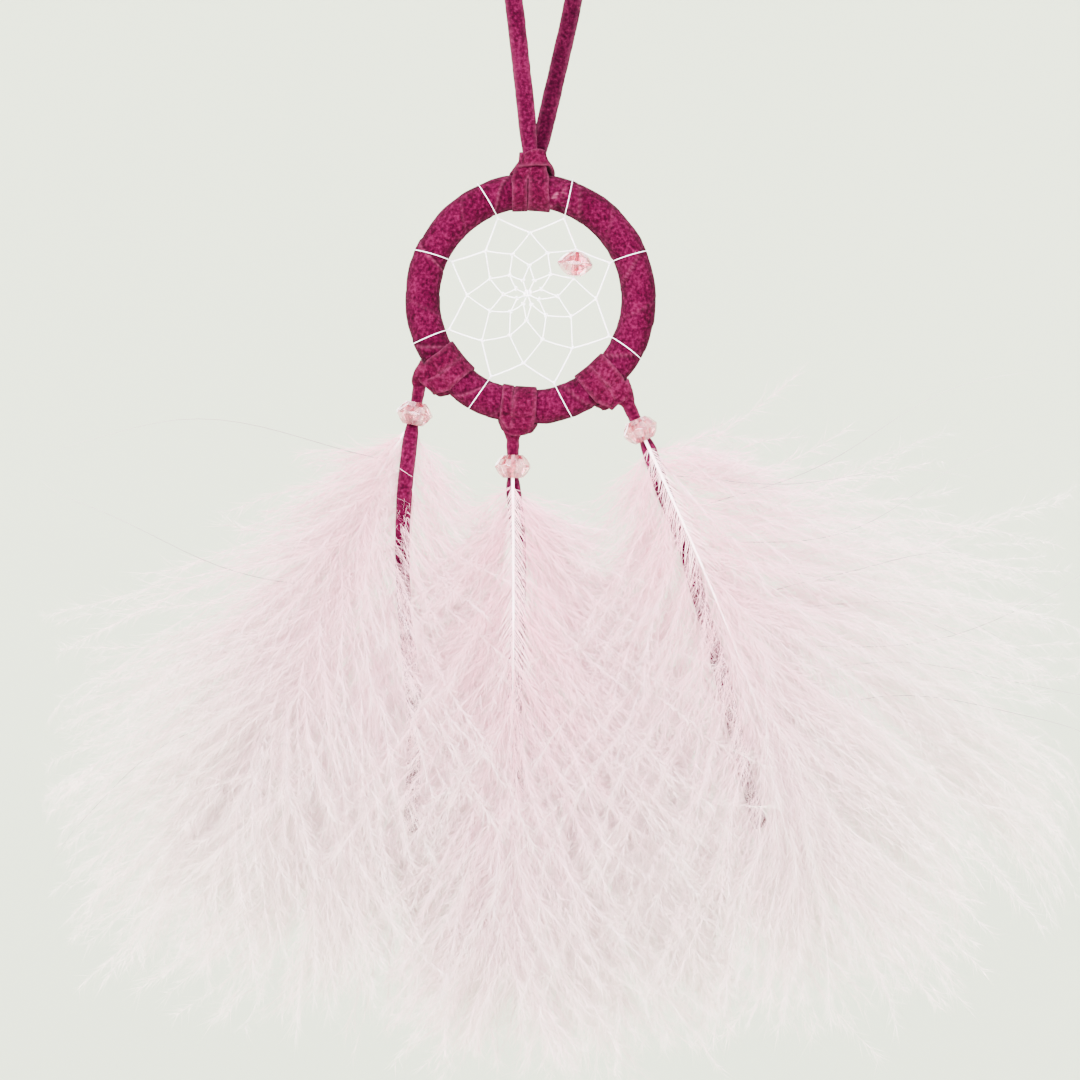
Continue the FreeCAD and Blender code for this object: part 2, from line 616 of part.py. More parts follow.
joint_points = {}
for side, pendant in PENDANTS.items():
    turn = lean(pendant["bead_lean"])
    up = turn.multVec(Vector(0, 0, 1))
    eye_middle = polar(size("hoop_radius") + sleeve_radius + pendant["bar_length"],
                       pendant["bar"])
    neck_top = eye_middle - up * (size("pendant_eye_diameter") / 2 + size("joint_gap")
                                  + size("lace_thickness") / 2)
    neck_low = neck_top - up * NECK_SPAN
    bead_face = neck_low - up * (size("neck_lace_width") / 2 + size("joint_gap"))
    bead_middle = bead_face - up * (size("bead_height") / 2)
    tail_top = bead_middle - up * (
        size("bead_height") / 2 + size("joint_gap") + size("pendant_lace_width") / 2)
    joint_points[side] = (neck_top, neck_low, tail_top, up)

    add_pendant_hitch(side + "_hitch", pendant, eye_middle)
    add_neck(side + "_neck_lace", neck_top, turn)
    bead_body(side + "_bead", "", bead_middle, turn)
    add_bead_filling(side, bead_middle, turn, pendant)
    for piece in ("front", "back"):
        frame = plume_placement(bead_middle, turn, pendant[piece])
        add_quill(f"{side}_{piece}_quill", turn, frame)
        add_vane(f"{side}_{piece}_down", pendant[piece], frame)
    route = [tail_top] + [bead_middle + Vector(x, 0, z) for x, z in pendant["tail"]]
    lace_strip(side + "_tail_lace", route, "pendant_lace_width", squeezed_lace, 0.0,
               round_start=True)


# ---------------------------------------------------------------- checks and files

doc.recompute()
for obj in doc.Objects:
    if "Invalid" in obj.State or "Error" in obj.State:
        raise RuntimeError(f"{obj.Label} failed: {obj.State}")
for obj in FINISHED:
    if obj.Shape.isNull() or not obj.Shape.isValid() or not obj.Shape.Solids:
        raise RuntimeError(f"{obj.Label} has no valid solid")

os.makedirs("parts", exist_ok=True)
for obj in FINISHED:
    obj.Shape.exportStep(f"parts/{obj.Label}.step")

print("web bead centre", web_bead_centre, "axis", web_bead_axis)
for side, points in joint_points.items():
    print(side, "neck top, neck low, tail top, up:", *points)
print(len(FINISHED), "sub-parts written")
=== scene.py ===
"""The look of a small dream catcher: a hoop wound with suede lace, a web of twisted
thread, faceted beads and marabou down. Sizes in the classes are millimetres; meshes are
metres. The hoop hangs in the XZ plane and faces -Y."""

import logging
import math
from dataclasses import dataclass, field
from enum import Enum
from typing import Sequence

import bpy
import numpy as np
from mathutils import Matrix, Vector, noise

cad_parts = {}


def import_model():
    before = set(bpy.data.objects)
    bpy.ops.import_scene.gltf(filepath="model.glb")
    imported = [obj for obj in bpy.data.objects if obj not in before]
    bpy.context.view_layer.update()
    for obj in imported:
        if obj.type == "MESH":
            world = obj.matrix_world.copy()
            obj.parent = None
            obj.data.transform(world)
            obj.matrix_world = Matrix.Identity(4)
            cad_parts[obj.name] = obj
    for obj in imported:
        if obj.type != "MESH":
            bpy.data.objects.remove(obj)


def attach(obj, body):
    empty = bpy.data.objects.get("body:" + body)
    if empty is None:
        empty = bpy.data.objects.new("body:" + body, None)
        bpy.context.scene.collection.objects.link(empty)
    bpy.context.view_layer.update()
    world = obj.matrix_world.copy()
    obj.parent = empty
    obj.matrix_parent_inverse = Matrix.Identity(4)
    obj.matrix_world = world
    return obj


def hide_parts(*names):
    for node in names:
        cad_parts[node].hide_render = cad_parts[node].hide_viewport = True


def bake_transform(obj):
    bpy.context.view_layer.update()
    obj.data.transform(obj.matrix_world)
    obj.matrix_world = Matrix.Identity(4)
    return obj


MM = 0.001
FRONT = Vector((0.0, -1.0, 0.0))
DYE_CHART = "OFBake"           # the down's own map, which its finish reads
log = logging.getLogger("dream_catcher")


# ------------------------------------------------------------------ small tools


def deselect() -> None:
    """Leaves edit mode and deselects everything."""
    if bpy.context.mode != "OBJECT":
        bpy.ops.object.mode_set(mode="OBJECT")
    bpy.ops.object.select_all(action="DESELECT")


def take(obj: bpy.types.Object) -> bpy.types.Object:
    """Makes one object the only selected and the active one.

    Args:
        obj: the object to work on.

    Returns:
        The same object.
    """
    deselect()
    obj.select_set(True)
    bpy.context.view_layer.objects.active = obj
    return obj


def settle(name: str, smooth_angle: float | None = 50.0) -> bpy.types.Object:
    """Names the active primitive, puts its place into its mesh and turns its faces out.

    Args:
        name: the piece's name.
        smooth_angle: edges below this many degrees are shaded smooth; None for facets.

    Returns:
        The finished object, at the origin.
    """
    obj = take(bpy.context.view_layer.objects.active)
    obj.name = obj.data.name = name
    bpy.ops.object.transform_apply(location=True, rotation=True, scale=True)
    bpy.ops.object.mode_set(mode="EDIT")
    bpy.ops.mesh.select_all(action="SELECT")
    bpy.ops.mesh.remove_doubles(threshold=1e-7)
    bpy.ops.mesh.normals_make_consistent(inside=False)
    bpy.ops.object.mode_set(mode="OBJECT")
    if smooth_angle is None:
        bpy.ops.object.shade_flat()
    else:
        bpy.ops.object.shade_smooth_by_angle(angle=math.radians(smooth_angle))
    return obj


def made_mesh(
    name: str, points: np.ndarray, faces: Sequence[Sequence[int]]
) -> bpy.types.Object:
    """Makes an object of given points and faces.

    Args:
        name: the piece's name.
        points: n by 3, in millimetres.
        faces: the corners of each face, counter-clockwise from outside.

    Returns:
        The new object, at the origin.
    """
    mesh = bpy.data.meshes.new(name)
    mesh.from_pydata((np.asarray(points) * MM).tolist(), [], faces)
    mesh.update()
    obj = bpy.data.objects.new(name, mesh)
    bpy.context.scene.collection.objects.link(obj)
    return take(obj)


def joined(name: str, parts: Sequence[bpy.types.Object]) -> bpy.types.Object:
    """Joins finished parts into one piece.

    Args:
        name: the piece's name.
        parts: objects at the origin.

    Returns:
        The joined object.
    """
    deselect()
    for part in parts:
        part.select_set(True)
    bpy.context.view_layer.objects.active = parts[0]
    bpy.ops.object.join()
    parts[0].name = parts[0].data.name = name
    return parts[0]


def dress(obj: bpy.types.Object, material: bpy.types.Material) -> None:
    """Gives a piece its one material.

    Args:
        obj: the piece.
        material: what it is made of.
    """
    obj.data.materials.clear()
    obj.data.materials.append(material)


def point_value(obj: bpy.types.Object, name: str, values: np.ndarray) -> None:
    """Stores one number per point for the materials.

    Args:
        obj: the piece.
        name: the attribute's name.
        values: one number per point.
    """
    layer = obj.data.attributes.get(name) or obj.data.attributes.new(
        name, "FLOAT", "POINT"
    )
    layer.data.foreach_set("value", np.asarray(values, np.float32))


def smooth_line(points: Sequence[Vector], steps: int = 16) -> np.ndarray:
    """Reads the smooth line that a clamped quadratic curve makes of its route points.

    Args:
        points: route points in millimetres.
        steps: points per span.

    Returns:
        The line's points in millimetres, n by 3.
    """
    curve = bpy.data.curves.new("route", "CURVE")
    curve.dimensions = "3D"
    curve.resolution_u = steps
    spline = curve.splines.new("NURBS")
    spline.points.add(len(points) - 1)
    for knot, point in zip(spline.points, points):
        knot.co = (point[0] * MM, point[1] * MM, point[2] * MM, 1.0)
    spline.order_u = 3
    spline.use_endpoint_u = True
    holder = bpy.data.objects.new("route", curve)
    mesh = bpy.data.meshes.new_from_object(holder)
    line = np.array([vertex.co for vertex in mesh.vertices]) / MM
    bpy.data.meshes.remove(mesh)
    bpy.data.curves.remove(curve)
    return line


def unit(vectors: np.ndarray) -> np.ndarray:
    """Vectors of length one, along the last axis."""
    return vectors / np.maximum(np.linalg.norm(vectors, axis=-1, keepdims=True), 1e-12)


def spaced(line: np.ndarray, count: int) -> tuple[np.ndarray, np.ndarray]:
    """Spreads points evenly along a line.

    Args:
        line: n by 3.
        count: how many points to make.

    Returns:
        The new points, and how far along the line each lies.
    """
    along = np.concatenate([[0], np.cumsum(np.linalg.norm(np.diff(line, axis=0), axis=1))])
    at = np.linspace(0, along[-1], count)
    return np.stack([np.interp(at, along, line[:, k]) for k in range(3)], 1), at


def bumps(points: np.ndarray, grain: float, seed: float) -> np.ndarray:
    """Smooth unevenness from -1 to 1 at each point.

    Args:
        points: n by 3, in millimetres.
        grain: size of one bump in millimetres.
        seed: shifts the pattern.

    Returns:
        One value per point.
    """
    shift = Vector((seed * 7.3, seed * 3.1, seed * 5.7))
    return np.array([noise.noise(Vector(p) / grain + shift) for p in points])


# ------------------------------------------------------------------ node tools


def linear(colour: str) -> tuple[float, float, float, float]:
    """Turns an sRGB hex colour into linear light.

    Args:
        colour: six hex digits after a hash sign.

    Returns:
        Linear red, green, blue and an alpha of one.
    """
    parts = [int(colour[i : i + 2], 16) / 255 for i in (1, 3, 5)]
    light = [c / 12.92 if c <= 0.04045 else ((c + 0.055) / 1.055) ** 2.4 for c in parts]
    return (light[0], light[1], light[2], 1.0)


def grain(millimetres: float) -> float:
    """Scale of a noise whose bumps are so many millimetres across."""
    return 1000 / millimetres / 2


def add_node(
    tree: bpy.types.NodeTree,
    kind: str,
    settings: dict | None = None,
    links: dict | None = None,
) -> bpy.types.Node:
    """Adds one node with its settings and what feeds it.

    Args:
        tree: the node tree.
        kind: the node's type.
        settings: properties by name, or socket values by socket name or number; a colour
            ramp's "stops" are its places and hex colours.
        links: output sockets by the name or number of the socket that they feed.

    Returns:
        The new node.
    """
    node = tree.nodes.new(kind)
    for key, value in (settings or {}).items():
        if key == "stops":
            elements = node.color_ramp.elements
            while len(elements) < len(value):
                elements.new(0.5)
            for element, (place, colour) in zip(elements, value):
                element.position = place
                element.color = linear(colour)
        elif isinstance(key, str) and hasattr(node, key):
            setattr(node, key, value)
        else:
            node.inputs[key].default_value = value
    for key, output in (links or {}).items():
        tree.links.new(output, node.inputs[key])
    return node


# ------------------------------------------------------------------ finishes


@dataclass(frozen=True)
class Finish:
    """What all finishes share: a name, and nodes that end in one surface."""

    name: str

    def build(self) -> bpy.types.Material:
        """Makes the material."""
        material = bpy.data.materials.new(self.name)
        material.use_nodes = True
        tree = material.node_tree
        tree.nodes.clear()
        shader = add_node(tree, "ShaderNodeBsdfPrincipled", *self.surface(tree))
        add_node(tree, "ShaderNodeOutputMaterial", links={"Surface": shader.outputs[0]})
        return material

    def surface(self, tree: bpy.types.NodeTree) -> tuple[dict, dict]:
        """Adds the nodes of the pattern.

        Args:
            tree: the material's node tree.

        Returns:
            The constants on the shader's sockets, and what feeds its other sockets.
        """
        raise NotImplementedError


@dataclass(frozen=True)
class SuedeFinish(Finish):
    """Split leather, drum dyed and buffed: a matt, mottled nap with paler cut edges."""

    deep: str = "#1B010A"
    ground: str = "#300117"
    bright: str = "#480B29"
    edge: str = "#84405A"
    mottle_mm: float = 0.36   # tufts of the nap, lying this way and that
    patch_mm: float = 3.5     # broad patches where a thumb has brushed it
    nap_mm: float = 0.16      # single tufts, for the bump

    def surface(self, tree: bpy.types.NodeTree) -> tuple[dict, dict]:
        """Tufts and brushed patches, paler on cut edges, with painted shade in creases and
        hollows.

        Args:
            tree: the material's node tree.

        Returns:
            The shader's constants and what feeds it.
        """
        place = add_node(tree, "ShaderNodeTexCoord").outputs["Object"]
        mottle = add_node(
            tree, "ShaderNodeTexNoise",
            {"Scale": grain(self.mottle_mm), "Detail": 4.0, "Roughness": 0.62},
            {"Vector": place})
        patch = add_node(
            tree, "ShaderNodeTexNoise", {"Scale": grain(self.patch_mm), "Detail": 2.0},
            {"Vector": place})
        blend = add_node(
            tree, "ShaderNodeMath", {"operation": "MULTIPLY_ADD", 1: 0.28, 2: -0.14},
            {0: patch.outputs[0]})
        value = add_node(
            tree, "ShaderNodeMath", {"operation": "ADD"},
            {0: mottle.outputs[0], 1: blend.outputs[0]})
        nappy = add_node(
            tree, "ShaderNodeValToRGB",
            {"stops": ((0.34, self.deep), (0.50, self.ground), (0.68, self.bright))},
            {0: value.outputs[0]})
        cut = add_node(tree, "ShaderNodeAttribute", {"attribute_name": "cut_edge"})
        edged = add_node(
            tree, "ShaderNodeMix", {"data_type": "RGBA", 7: linear(self.edge)},
            {0: cut.outputs["Fac"], 6: nappy.outputs[0]})
        # painted shade: the deep colour is mixed in where the wrap's laps crease and at
        # its hole
        fold = add_node(tree, "ShaderNodeAttribute", {"attribute_name": "fold"})
        colour = add_node(
            tree, "ShaderNodeMix", {"data_type": "RGBA", 7: linear(self.deep)},
            {0: fold.outputs["Fac"], 6: edged.outputs[2]})
        nap = add_node(
            tree, "ShaderNodeTexNoise",
            {"Scale": grain(self.nap_mm), "Detail": 3.0, "Roughness": 0.7},
            {"Vector": place})
        height = add_node(
            tree, "ShaderNodeMath", {"operation": "ADD"},
            {0: nap.outputs[0], 1: mottle.outputs[0]})
        bump = add_node(
            tree, "ShaderNodeBump", {"Strength": 0.5, "Distance": 0.00012},
            {"Height": height.outputs[0]})
        return ({"Roughness": 1.0, "Sheen Weight": 0.012, "Sheen Roughness": 0.5,
                 "Specular IOR Level": 0.02},
                {"Base Color": colour.outputs[2], "Normal": bump.outputs[0]})


@dataclass(frozen=True)
class ThreadFinish(Finish):
    """Bonded two-ply nylon thread: bright white with a soft gloss along each ply."""

    name: str = "web_thread_bonded_nylon"
    light: str = "#FFFFFF"
    shade: str = "#E9E4E6"
    fibre_mm: float = 0.09

    def surface(self, tree: bpy.types.NodeTree) -> tuple[dict, dict]:
        """Fine fibres, a little darker between them.

        Args:
            tree: the material's node tree.

        Returns:
            The shader's constants and what feeds it.
        """
        place = add_node(tree, "ShaderNodeTexCoord").outputs["Object"]
        fibre = add_node(
            tree, "ShaderNodeTexNoise", {"Scale": grain(self.fibre_mm), "Detail": 2.0},
            {"Vector": place})
        colour = add_node(
            tree, "ShaderNodeValToRGB",
            {"stops": ((0.35, self.shade), (0.6, self.light))}, {0: fibre.outputs[0]})
        bump = add_node(
            tree, "ShaderNodeBump", {"Strength": 0.3, "Distance": 0.00003},
            {"Height": fibre.outputs[0]})
        return ({"Roughness": 0.42, "Sheen Weight": 0.3, "Subsurface Weight": 0.1,
                 "Subsurface Scale": 0.0003},
                {"Base Color": colour.outputs[0], "Normal": bump.outputs[0]})


@dataclass(frozen=True)
class CrystalFinish(Finish):
    """Cut and polished acrylic, tinted pink in the melt: clear with glints from its gloss
    and painted glints on its bevels.
    """

    name: str = "bead_pink_acrylic"
    tint: str = "#F6C2C5"
    streak: str = "#D87583"
    deep: str = "#A1334B"
    streak_mm: float = 2.2    # uneven dye in the melt

    def surface(self, tree: bpy.types.NodeTree) -> tuple[dict, dict]:
        """Every face of the cut takes its own depth of tint, clouded by the streaks;
        bevels take the palest tint as a painted glint.

        Args:
            tree: the material's node tree.

        Returns:
            The shader's constants and what feeds it.
        """
        place = add_node(tree, "ShaderNodeTexCoord").outputs["Object"]
        cloud = add_node(
            tree, "ShaderNodeTexNoise", {"Scale": grain(self.streak_mm), "Detail": 2.0},
            {"Vector": place})
        # the bevelled edges carry the top value, the palest tint: a painted glint
        facet = add_node(tree, "ShaderNodeAttribute", {"attribute_name": "facet"})
        glow = add_node(
            tree, "ShaderNodeMath", {"operation": "MULTIPLY_ADD", 1: 0.35},
            {0: cloud.outputs[0], 2: facet.outputs["Fac"]})
        colour = add_node(
            tree, "ShaderNodeValToRGB",
            {"stops": ((0.16, self.deep), (0.45, self.streak), (0.85, self.tint))},
            {0: glow.outputs[0]})
        scuff = add_node(
            tree, "ShaderNodeMapRange", {"To Min": 0.01, "To Max": 0.05},
            {"Value": cloud.outputs[0]})
        return ({"IOR": 1.49, "Transmission Weight": 0.85, "Coat Weight": 0.3},
                {"Base Color": colour.outputs[0], "Roughness": scuff.outputs[0]})


@dataclass(frozen=True)
class GlueFinish(Finish):
    """Dried craft glue: clear, a little milky, with fine bubbles."""

    name: str = "bead_craft_glue"
    colour: str = "#F3EEE9"
    milk: str = "#FFFFFF"
    bubble_mm: float = 0.3

    def surface(self, tree: bpy.types.NodeTree) -> tuple[dict, dict]:
        """Bubbles, milkier in their middles.

        Args:
            tree: the material's node tree.

        Returns:
            The shader's constants and what feeds it.
        """
        place = add_node(tree, "ShaderNodeTexCoord").outputs["Object"]
        bubbles = add_node(
            tree, "ShaderNodeTexVoronoi", {"Scale": grain(self.bubble_mm)},
            {"Vector": place})
        colour = add_node(
            tree, "ShaderNodeValToRGB",
            {"stops": ((0.1, self.milk), (0.5, self.colour))}, {0: bubbles.outputs[0]})
        bump = add_node(
            tree, "ShaderNodeBump", {"Strength": 0.2, "Distance": 0.0001},
            {"Height": bubbles.outputs[0]})
        return ({"IOR": 1.47, "Transmission Weight": 0.6, "Roughness": 0.15},
                {"Base Color": colour.outputs[0], "Normal": bump.outputs[0]})


@dataclass(frozen=True)
class SteelFinish(Finish):
    """Drawn and welded steel wire, left bare inside its lace: a dull grey gloss."""

    name: str = "ring_drawn_steel"
    colour: str = "#B9B8B4"
    line: str = "#8F8E8B"
    draw_mm: float = 0.25     # drawing lines round the wire

    def surface(self, tree: bpy.types.NodeTree) -> tuple[dict, dict]:
        """Fine drawing lines, darker than the wire.

        Args:
            tree: the material's node tree.

        Returns:
            The shader's constants and what feeds it.
        """
        place = add_node(tree, "ShaderNodeTexCoord").outputs["Object"]
        lines = add_node(
            tree, "ShaderNodeTexNoise", {"Scale": grain(self.draw_mm), "Detail": 3.0},
            {"Vector": place})
        colour = add_node(
            tree, "ShaderNodeValToRGB",
            {"stops": ((0.4, self.line), (0.6, self.colour))}, {0: lines.outputs[0]})
        return {"Metallic": 1.0, "Roughness": 0.38}, {"Base Color": colour.outputs[0]}


@dataclass(frozen=True)
class QuillFinish(Finish):
    """Feather shaft, dyed pale: horn with a soft gloss and faint streaks along it."""

    name: str = "feather_shaft_horn"
    pale: str = "#FFF1EE"
    pink: str = "#FBD0D4"
    streak_mm: float = 0.35

    def surface(self, tree: bpy.types.NodeTree) -> tuple[dict, dict]:
        """Streaks, drawn out along the shaft.

        Args:
            tree: the material's node tree.

        Returns:
            The shader's constants and what feeds it.
        """
        place = add_node(tree, "ShaderNodeTexCoord").outputs["Object"]
        stretched = add_node(
            tree, "ShaderNodeMapping", {"Scale": (1.0, 1.0, 0.12)}, {"Vector": place})
        streaks = add_node(
            tree, "ShaderNodeTexNoise", {"Scale": grain(self.streak_mm), "Detail": 3.0},
            {"Vector": stretched.outputs[0]})
        colour = add_node(
            tree, "ShaderNodeValToRGB",
            {"stops": ((0.35, self.pink), (0.6, self.pale))}, {0: streaks.outputs[0]})
        bump = add_node(
            tree, "ShaderNodeBump", {"Strength": 0.25, "Distance": 0.00005},
            {"Height": streaks.outputs[0]})
        return ({"Roughness": 0.34, "IOR": 1.54, "Subsurface Weight": 0.25,
                 "Subsurface Scale": 0.0006, "Coat Weight": 0.15},
                {"Base Color": colour.outputs[0], "Normal": bump.outputs[0]})


@dataclass(frozen=True)
class DownFinish(Finish):
    """Marabou, dyed pale pink: strongest by the shaft, almost white at the tips."""

    name: str = "plume_dyed_marabou"
    pink: str = "#FFAEC2"
    middle: str = "#FFD0D6"
    white: str = "#FCF3E4"
    # dark grey for the stray wisps: painted shade
    wisp_shade: str = "#857A76"

    def surface(self, tree: bpy.types.NodeTree) -> tuple[dict, dict]:
        """The chart runs across by dye and down by place on a barb; its dark grey start is
        painted shade for the wisps.

        Args:
            tree: the material's node tree.

        Returns:
            The shader's constants and what feeds it.
        """
        chart = add_node(tree, "ShaderNodeUVMap", {"uv_map": DYE_CHART}).outputs[0]
        parts = add_node(tree, "ShaderNodeSeparateXYZ", links={0: chart})
        # the chart's first few hundredths are dark grey, painted shade on the wisps
        dyed = add_node(
            tree, "ShaderNodeValToRGB",
            {"stops": ((0.0, self.wisp_shade), (0.03, self.wisp_shade), (0.055, self.white),
                       (0.45, self.middle), (1.0, self.pink))},
            {0: parts.outputs[0]})
        fade = add_node(
            tree, "ShaderNodeMapRange",
            {"From Min": 0.4, "From Max": 1.0, "To Min": 0.0, "To Max": 0.4},
            {"Value": parts.outputs[1]})
        colour = add_node(
            tree, "ShaderNodeMix", {"data_type": "RGBA", 7: linear(self.white)},
            {0: fade.outputs[0], 6: dyed.outputs[0]})
        return ({"Roughness": 0.9, "Specular IOR Level": 0.2, "Sheen Weight": 0.3,
                 "Sheen Roughness": 0.5},
                {"Base Color": colour.outputs[2]})


@dataclass(frozen=True)
class PaperFinish(Finish):
    """Seamless studio paper, rolled out over floor and wall: matt, faintly fibrous."""

    name: str = "studio_paper"
    light: str = "#E8F2DC"
    shade: str = "#E5EFD9"
    fibre_m: float = 0.25

    def surface(self, tree: bpy.types.NodeTree) -> tuple[dict, dict]:
        """Broad, faint clouds.

        Args:
            tree: the material's node tree.

        Returns:
            The shader's constants and what feeds it.
        """
        place = add_node(tree, "ShaderNodeTexCoord").outputs["Object"]
        cloud = add_node(
            tree, "ShaderNodeTexNoise", {"Scale": 0.5 / self.fibre_m, "Detail": 2.0},
            {"Vector": place})
        colour = add_node(
            tree, "ShaderNodeValToRGB",
            {"stops": ((0.3, self.shade), (0.7, self.light))}, {0: cloud.outputs[0]})
        return ({"Roughness": 1.0, "Specular IOR Level": 0.0},
                {"Base Color": colour.outputs[0]})


# ------------------------------------------------------------------ swept laces


def lace_section(corner_points: int = 3) -> list[tuple[float, float, float, float]]:
    """Outline of a lace's cut end, counter-clockwise.

    Args:
        corner_points: points on each rounded corner.

    Returns:
        For each point: its side across (-1 or 1, or a share between), its side through,
        and how far the rounding pulls it in across and through, as shares of a corner.
    """
    outline: list[tuple[float, float, float, float]] = []
    for across, through, start in ((1, -1, -90), (1, 1, 0), (-1, 1, 90), (-1, -1, 180)):
        for step in range(corner_points):
            turn = math.radians(start + 90 * step / (corner_points - 1))
            outline.append((across, through, math.cos(turn) - across,
                            math.sin(turn) - through))
        if across == through:
            outline += [(across * share, through, 0.0, 0.0) for share in (0.5, 0.0, -0.5)]
    return outline


@dataclass
class Sweep:
    """A flat lace swept along a line, with rough cut edges."""

    name: str
    line: np.ndarray               # middle line, n by 3, in millimetres
    across: np.ndarray | Sequence[float]     # direction of its width, one or per point
    width: np.ndarray | float
    thickness: np.ndarray | float
    corner: float = 0.32
    rough: float = 0.05            # wander of the cut edges
    seed: float = 0.0

    def build(self) -> bpy.types.Object:
        """Makes the lace as one closed piece.

        Returns:
            The piece, with cut_edge values for its finish.
        """
        count = len(self.line)
        along = unit(np.gradient(self.line, axis=0))
        wanted = np.asarray(self.across, float)
        across = unit(wanted - (wanted * along).sum(1, keepdims=True) * along)
        through = np.cross(along, across)
        width = np.broadcast_to(np.asarray(self.width, float), count)
        thick = np.broadcast_to(np.asarray(self.thickness, float), count)
        corner = np.minimum(self.corner, 0.45 * np.minimum(width, thick))
        outline = lace_section()
        rings = []
        for side, face, pull_side, pull_face in outline:
            x = side * width / 2 + pull_side * corner
            y = face * thick / 2 + pull_face * corner
            rings.append(self.line + across * x[:, None] + through * y[:, None])
        points = np.stack(rings, 1)
        sides = len(outline)
        flat = points.reshape(-1, 3)
        wander = bumps(flat, 0.9, self.seed + 1.0) * self.rough
        wander += bumps(flat, 3.0, self.seed + 4.0) * self.rough * 1.4
        middle = np.repeat(self.line, sides, axis=0)
        flat = flat + unit(flat - middle) * wander[:, None]
        faces = []
        for ring in range(count - 1):
            for k in range(sides):
                after = (k + 1) % sides
                faces.append((ring * sides + k, ring * sides + after,
                              (ring + 1) * sides + after, (ring + 1) * sides + k))
        flat = np.vstack([flat, self.line[:1], self.line[-1:]])
        for k in range(sides):
            after = (k + 1) % sides
            faces.append((count * sides, after, k))
            faces.append((count * sides + 1, (count - 1) * sides + k,
                          (count - 1) * sides + after))
        made_mesh(self.name, flat, faces)
        obj = settle(self.name, 60)
        edge = [1.0 if abs(side) == 1 and abs(pull_face) > 0.02 else
                (0.55 if abs(side) == 1 else 0.0)
                for side, _, _, pull_face in outline]
        values = np.tile(np.array(edge) * 0.2, count)
        values = np.concatenate([values, [0.15, 0.15]])
        if len(obj.data.vertices) == len(values):
            ragged = 0.55 + 0.45 * bumps(flat, 1.1, self.seed + 9.0)
            point_value(obj, "cut_edge", values * ragged)
        return obj


def eased(points: Sequence[Sequence[float]], count: int) -> np.ndarray:
    """Runs a smooth line through given points, with values beside them.

    Args:
        points: rows of numbers; the first three are the place.
        count: how many rows to make.

    Returns:
        count rows, evenly spaced along the line.
    """
    rows = np.asarray(points, float)
    ends = np.vstack([2 * rows[0] - rows[1], rows, 2 * rows[-1] - rows[-2]])
    made = []
    for i in range(1, len(ends) - 2):
        p0, p1, p2, p3 = ends[i - 1 : i + 3]
        for t in np.linspace(0, 1, 24, endpoint=False):
            made.append(0.5 * (2 * p1 + (p2 - p0) * t + (2 * p0 - 5 * p1 + 4 * p2 - p3)
                               * t * t + (3 * p1 - p0 - 3 * p2 + p3) * t ** 3))
    made.append(rows[-1])
    dense = np.array(made)
    along = np.concatenate(
        [[0], np.cumsum(np.linalg.norm(np.diff(dense[:, :3], axis=0), axis=1))])
    at = np.linspace(0, along[-1], count)
    return np.stack([np.interp(at, along, column) for column in dense.T], 1)


# ------------------------------------------------------------------ sizes and places

HOOP_CENTRE = Vector((0.0, 0.0, -110.0))
HOOP_RADIUS = 23.5
TUBE_RADIUS = 3.7
LACE_THICKNESS = 1.15
SLEEVE_RADIUS = TUBE_RADIUS + LACE_THICKNESS
LACE_WIDTH = 3.5
TAIL_WIDTH = 3.2
NECK_WIDTH = 2.8
EYE_RADIUS = 1.4
JOINT_GAP = 0.3
NECK_SPAN = 1.0
BEAD_HEIGHT = 5.0
ROOM = ((-109.0, 123.0, 12.0), (-20.0, 27.5, 10.0), (-288.0, 60.0, 12.0))
BEVEL_GLINT_AREA = 3e-7   # square metres; smaller faces of a bead are its bevelled edges, painted pale as glints
QUILL_RING = 1.2
QUILL_LENGTH = 98.0
SHAFT_CUTS = 48         # straight lengths that a shaft is cut into
SHAFT_POINTS = 480      # places on its line that they are bent to
FIRST_SHARE = 0.26      # length of the first barbs, as a share of the longest
FILL_RATE = 2.3         # how soon down the shaft they reach it
TIP_TAPER = 0.40        # how much shorter they are at the tip


def on_hoop(radius: float, degrees: float) -> Vector:
    """Point in the hoop's plane by radius and angle from +X towards +Z."""
    turn = math.radians(degrees)
    return HOOP_CENTRE + Vector((radius * math.cos(turn), 0, radius * math.sin(turn)))


def leaned(degrees: float) -> Matrix:
    """Turn about Y that leans +Z by so many degrees towards +X."""
    return Matrix.Rotation(math.radians(degrees), 3, "Y")


# ------------------------------------------------------------------ cow hitch


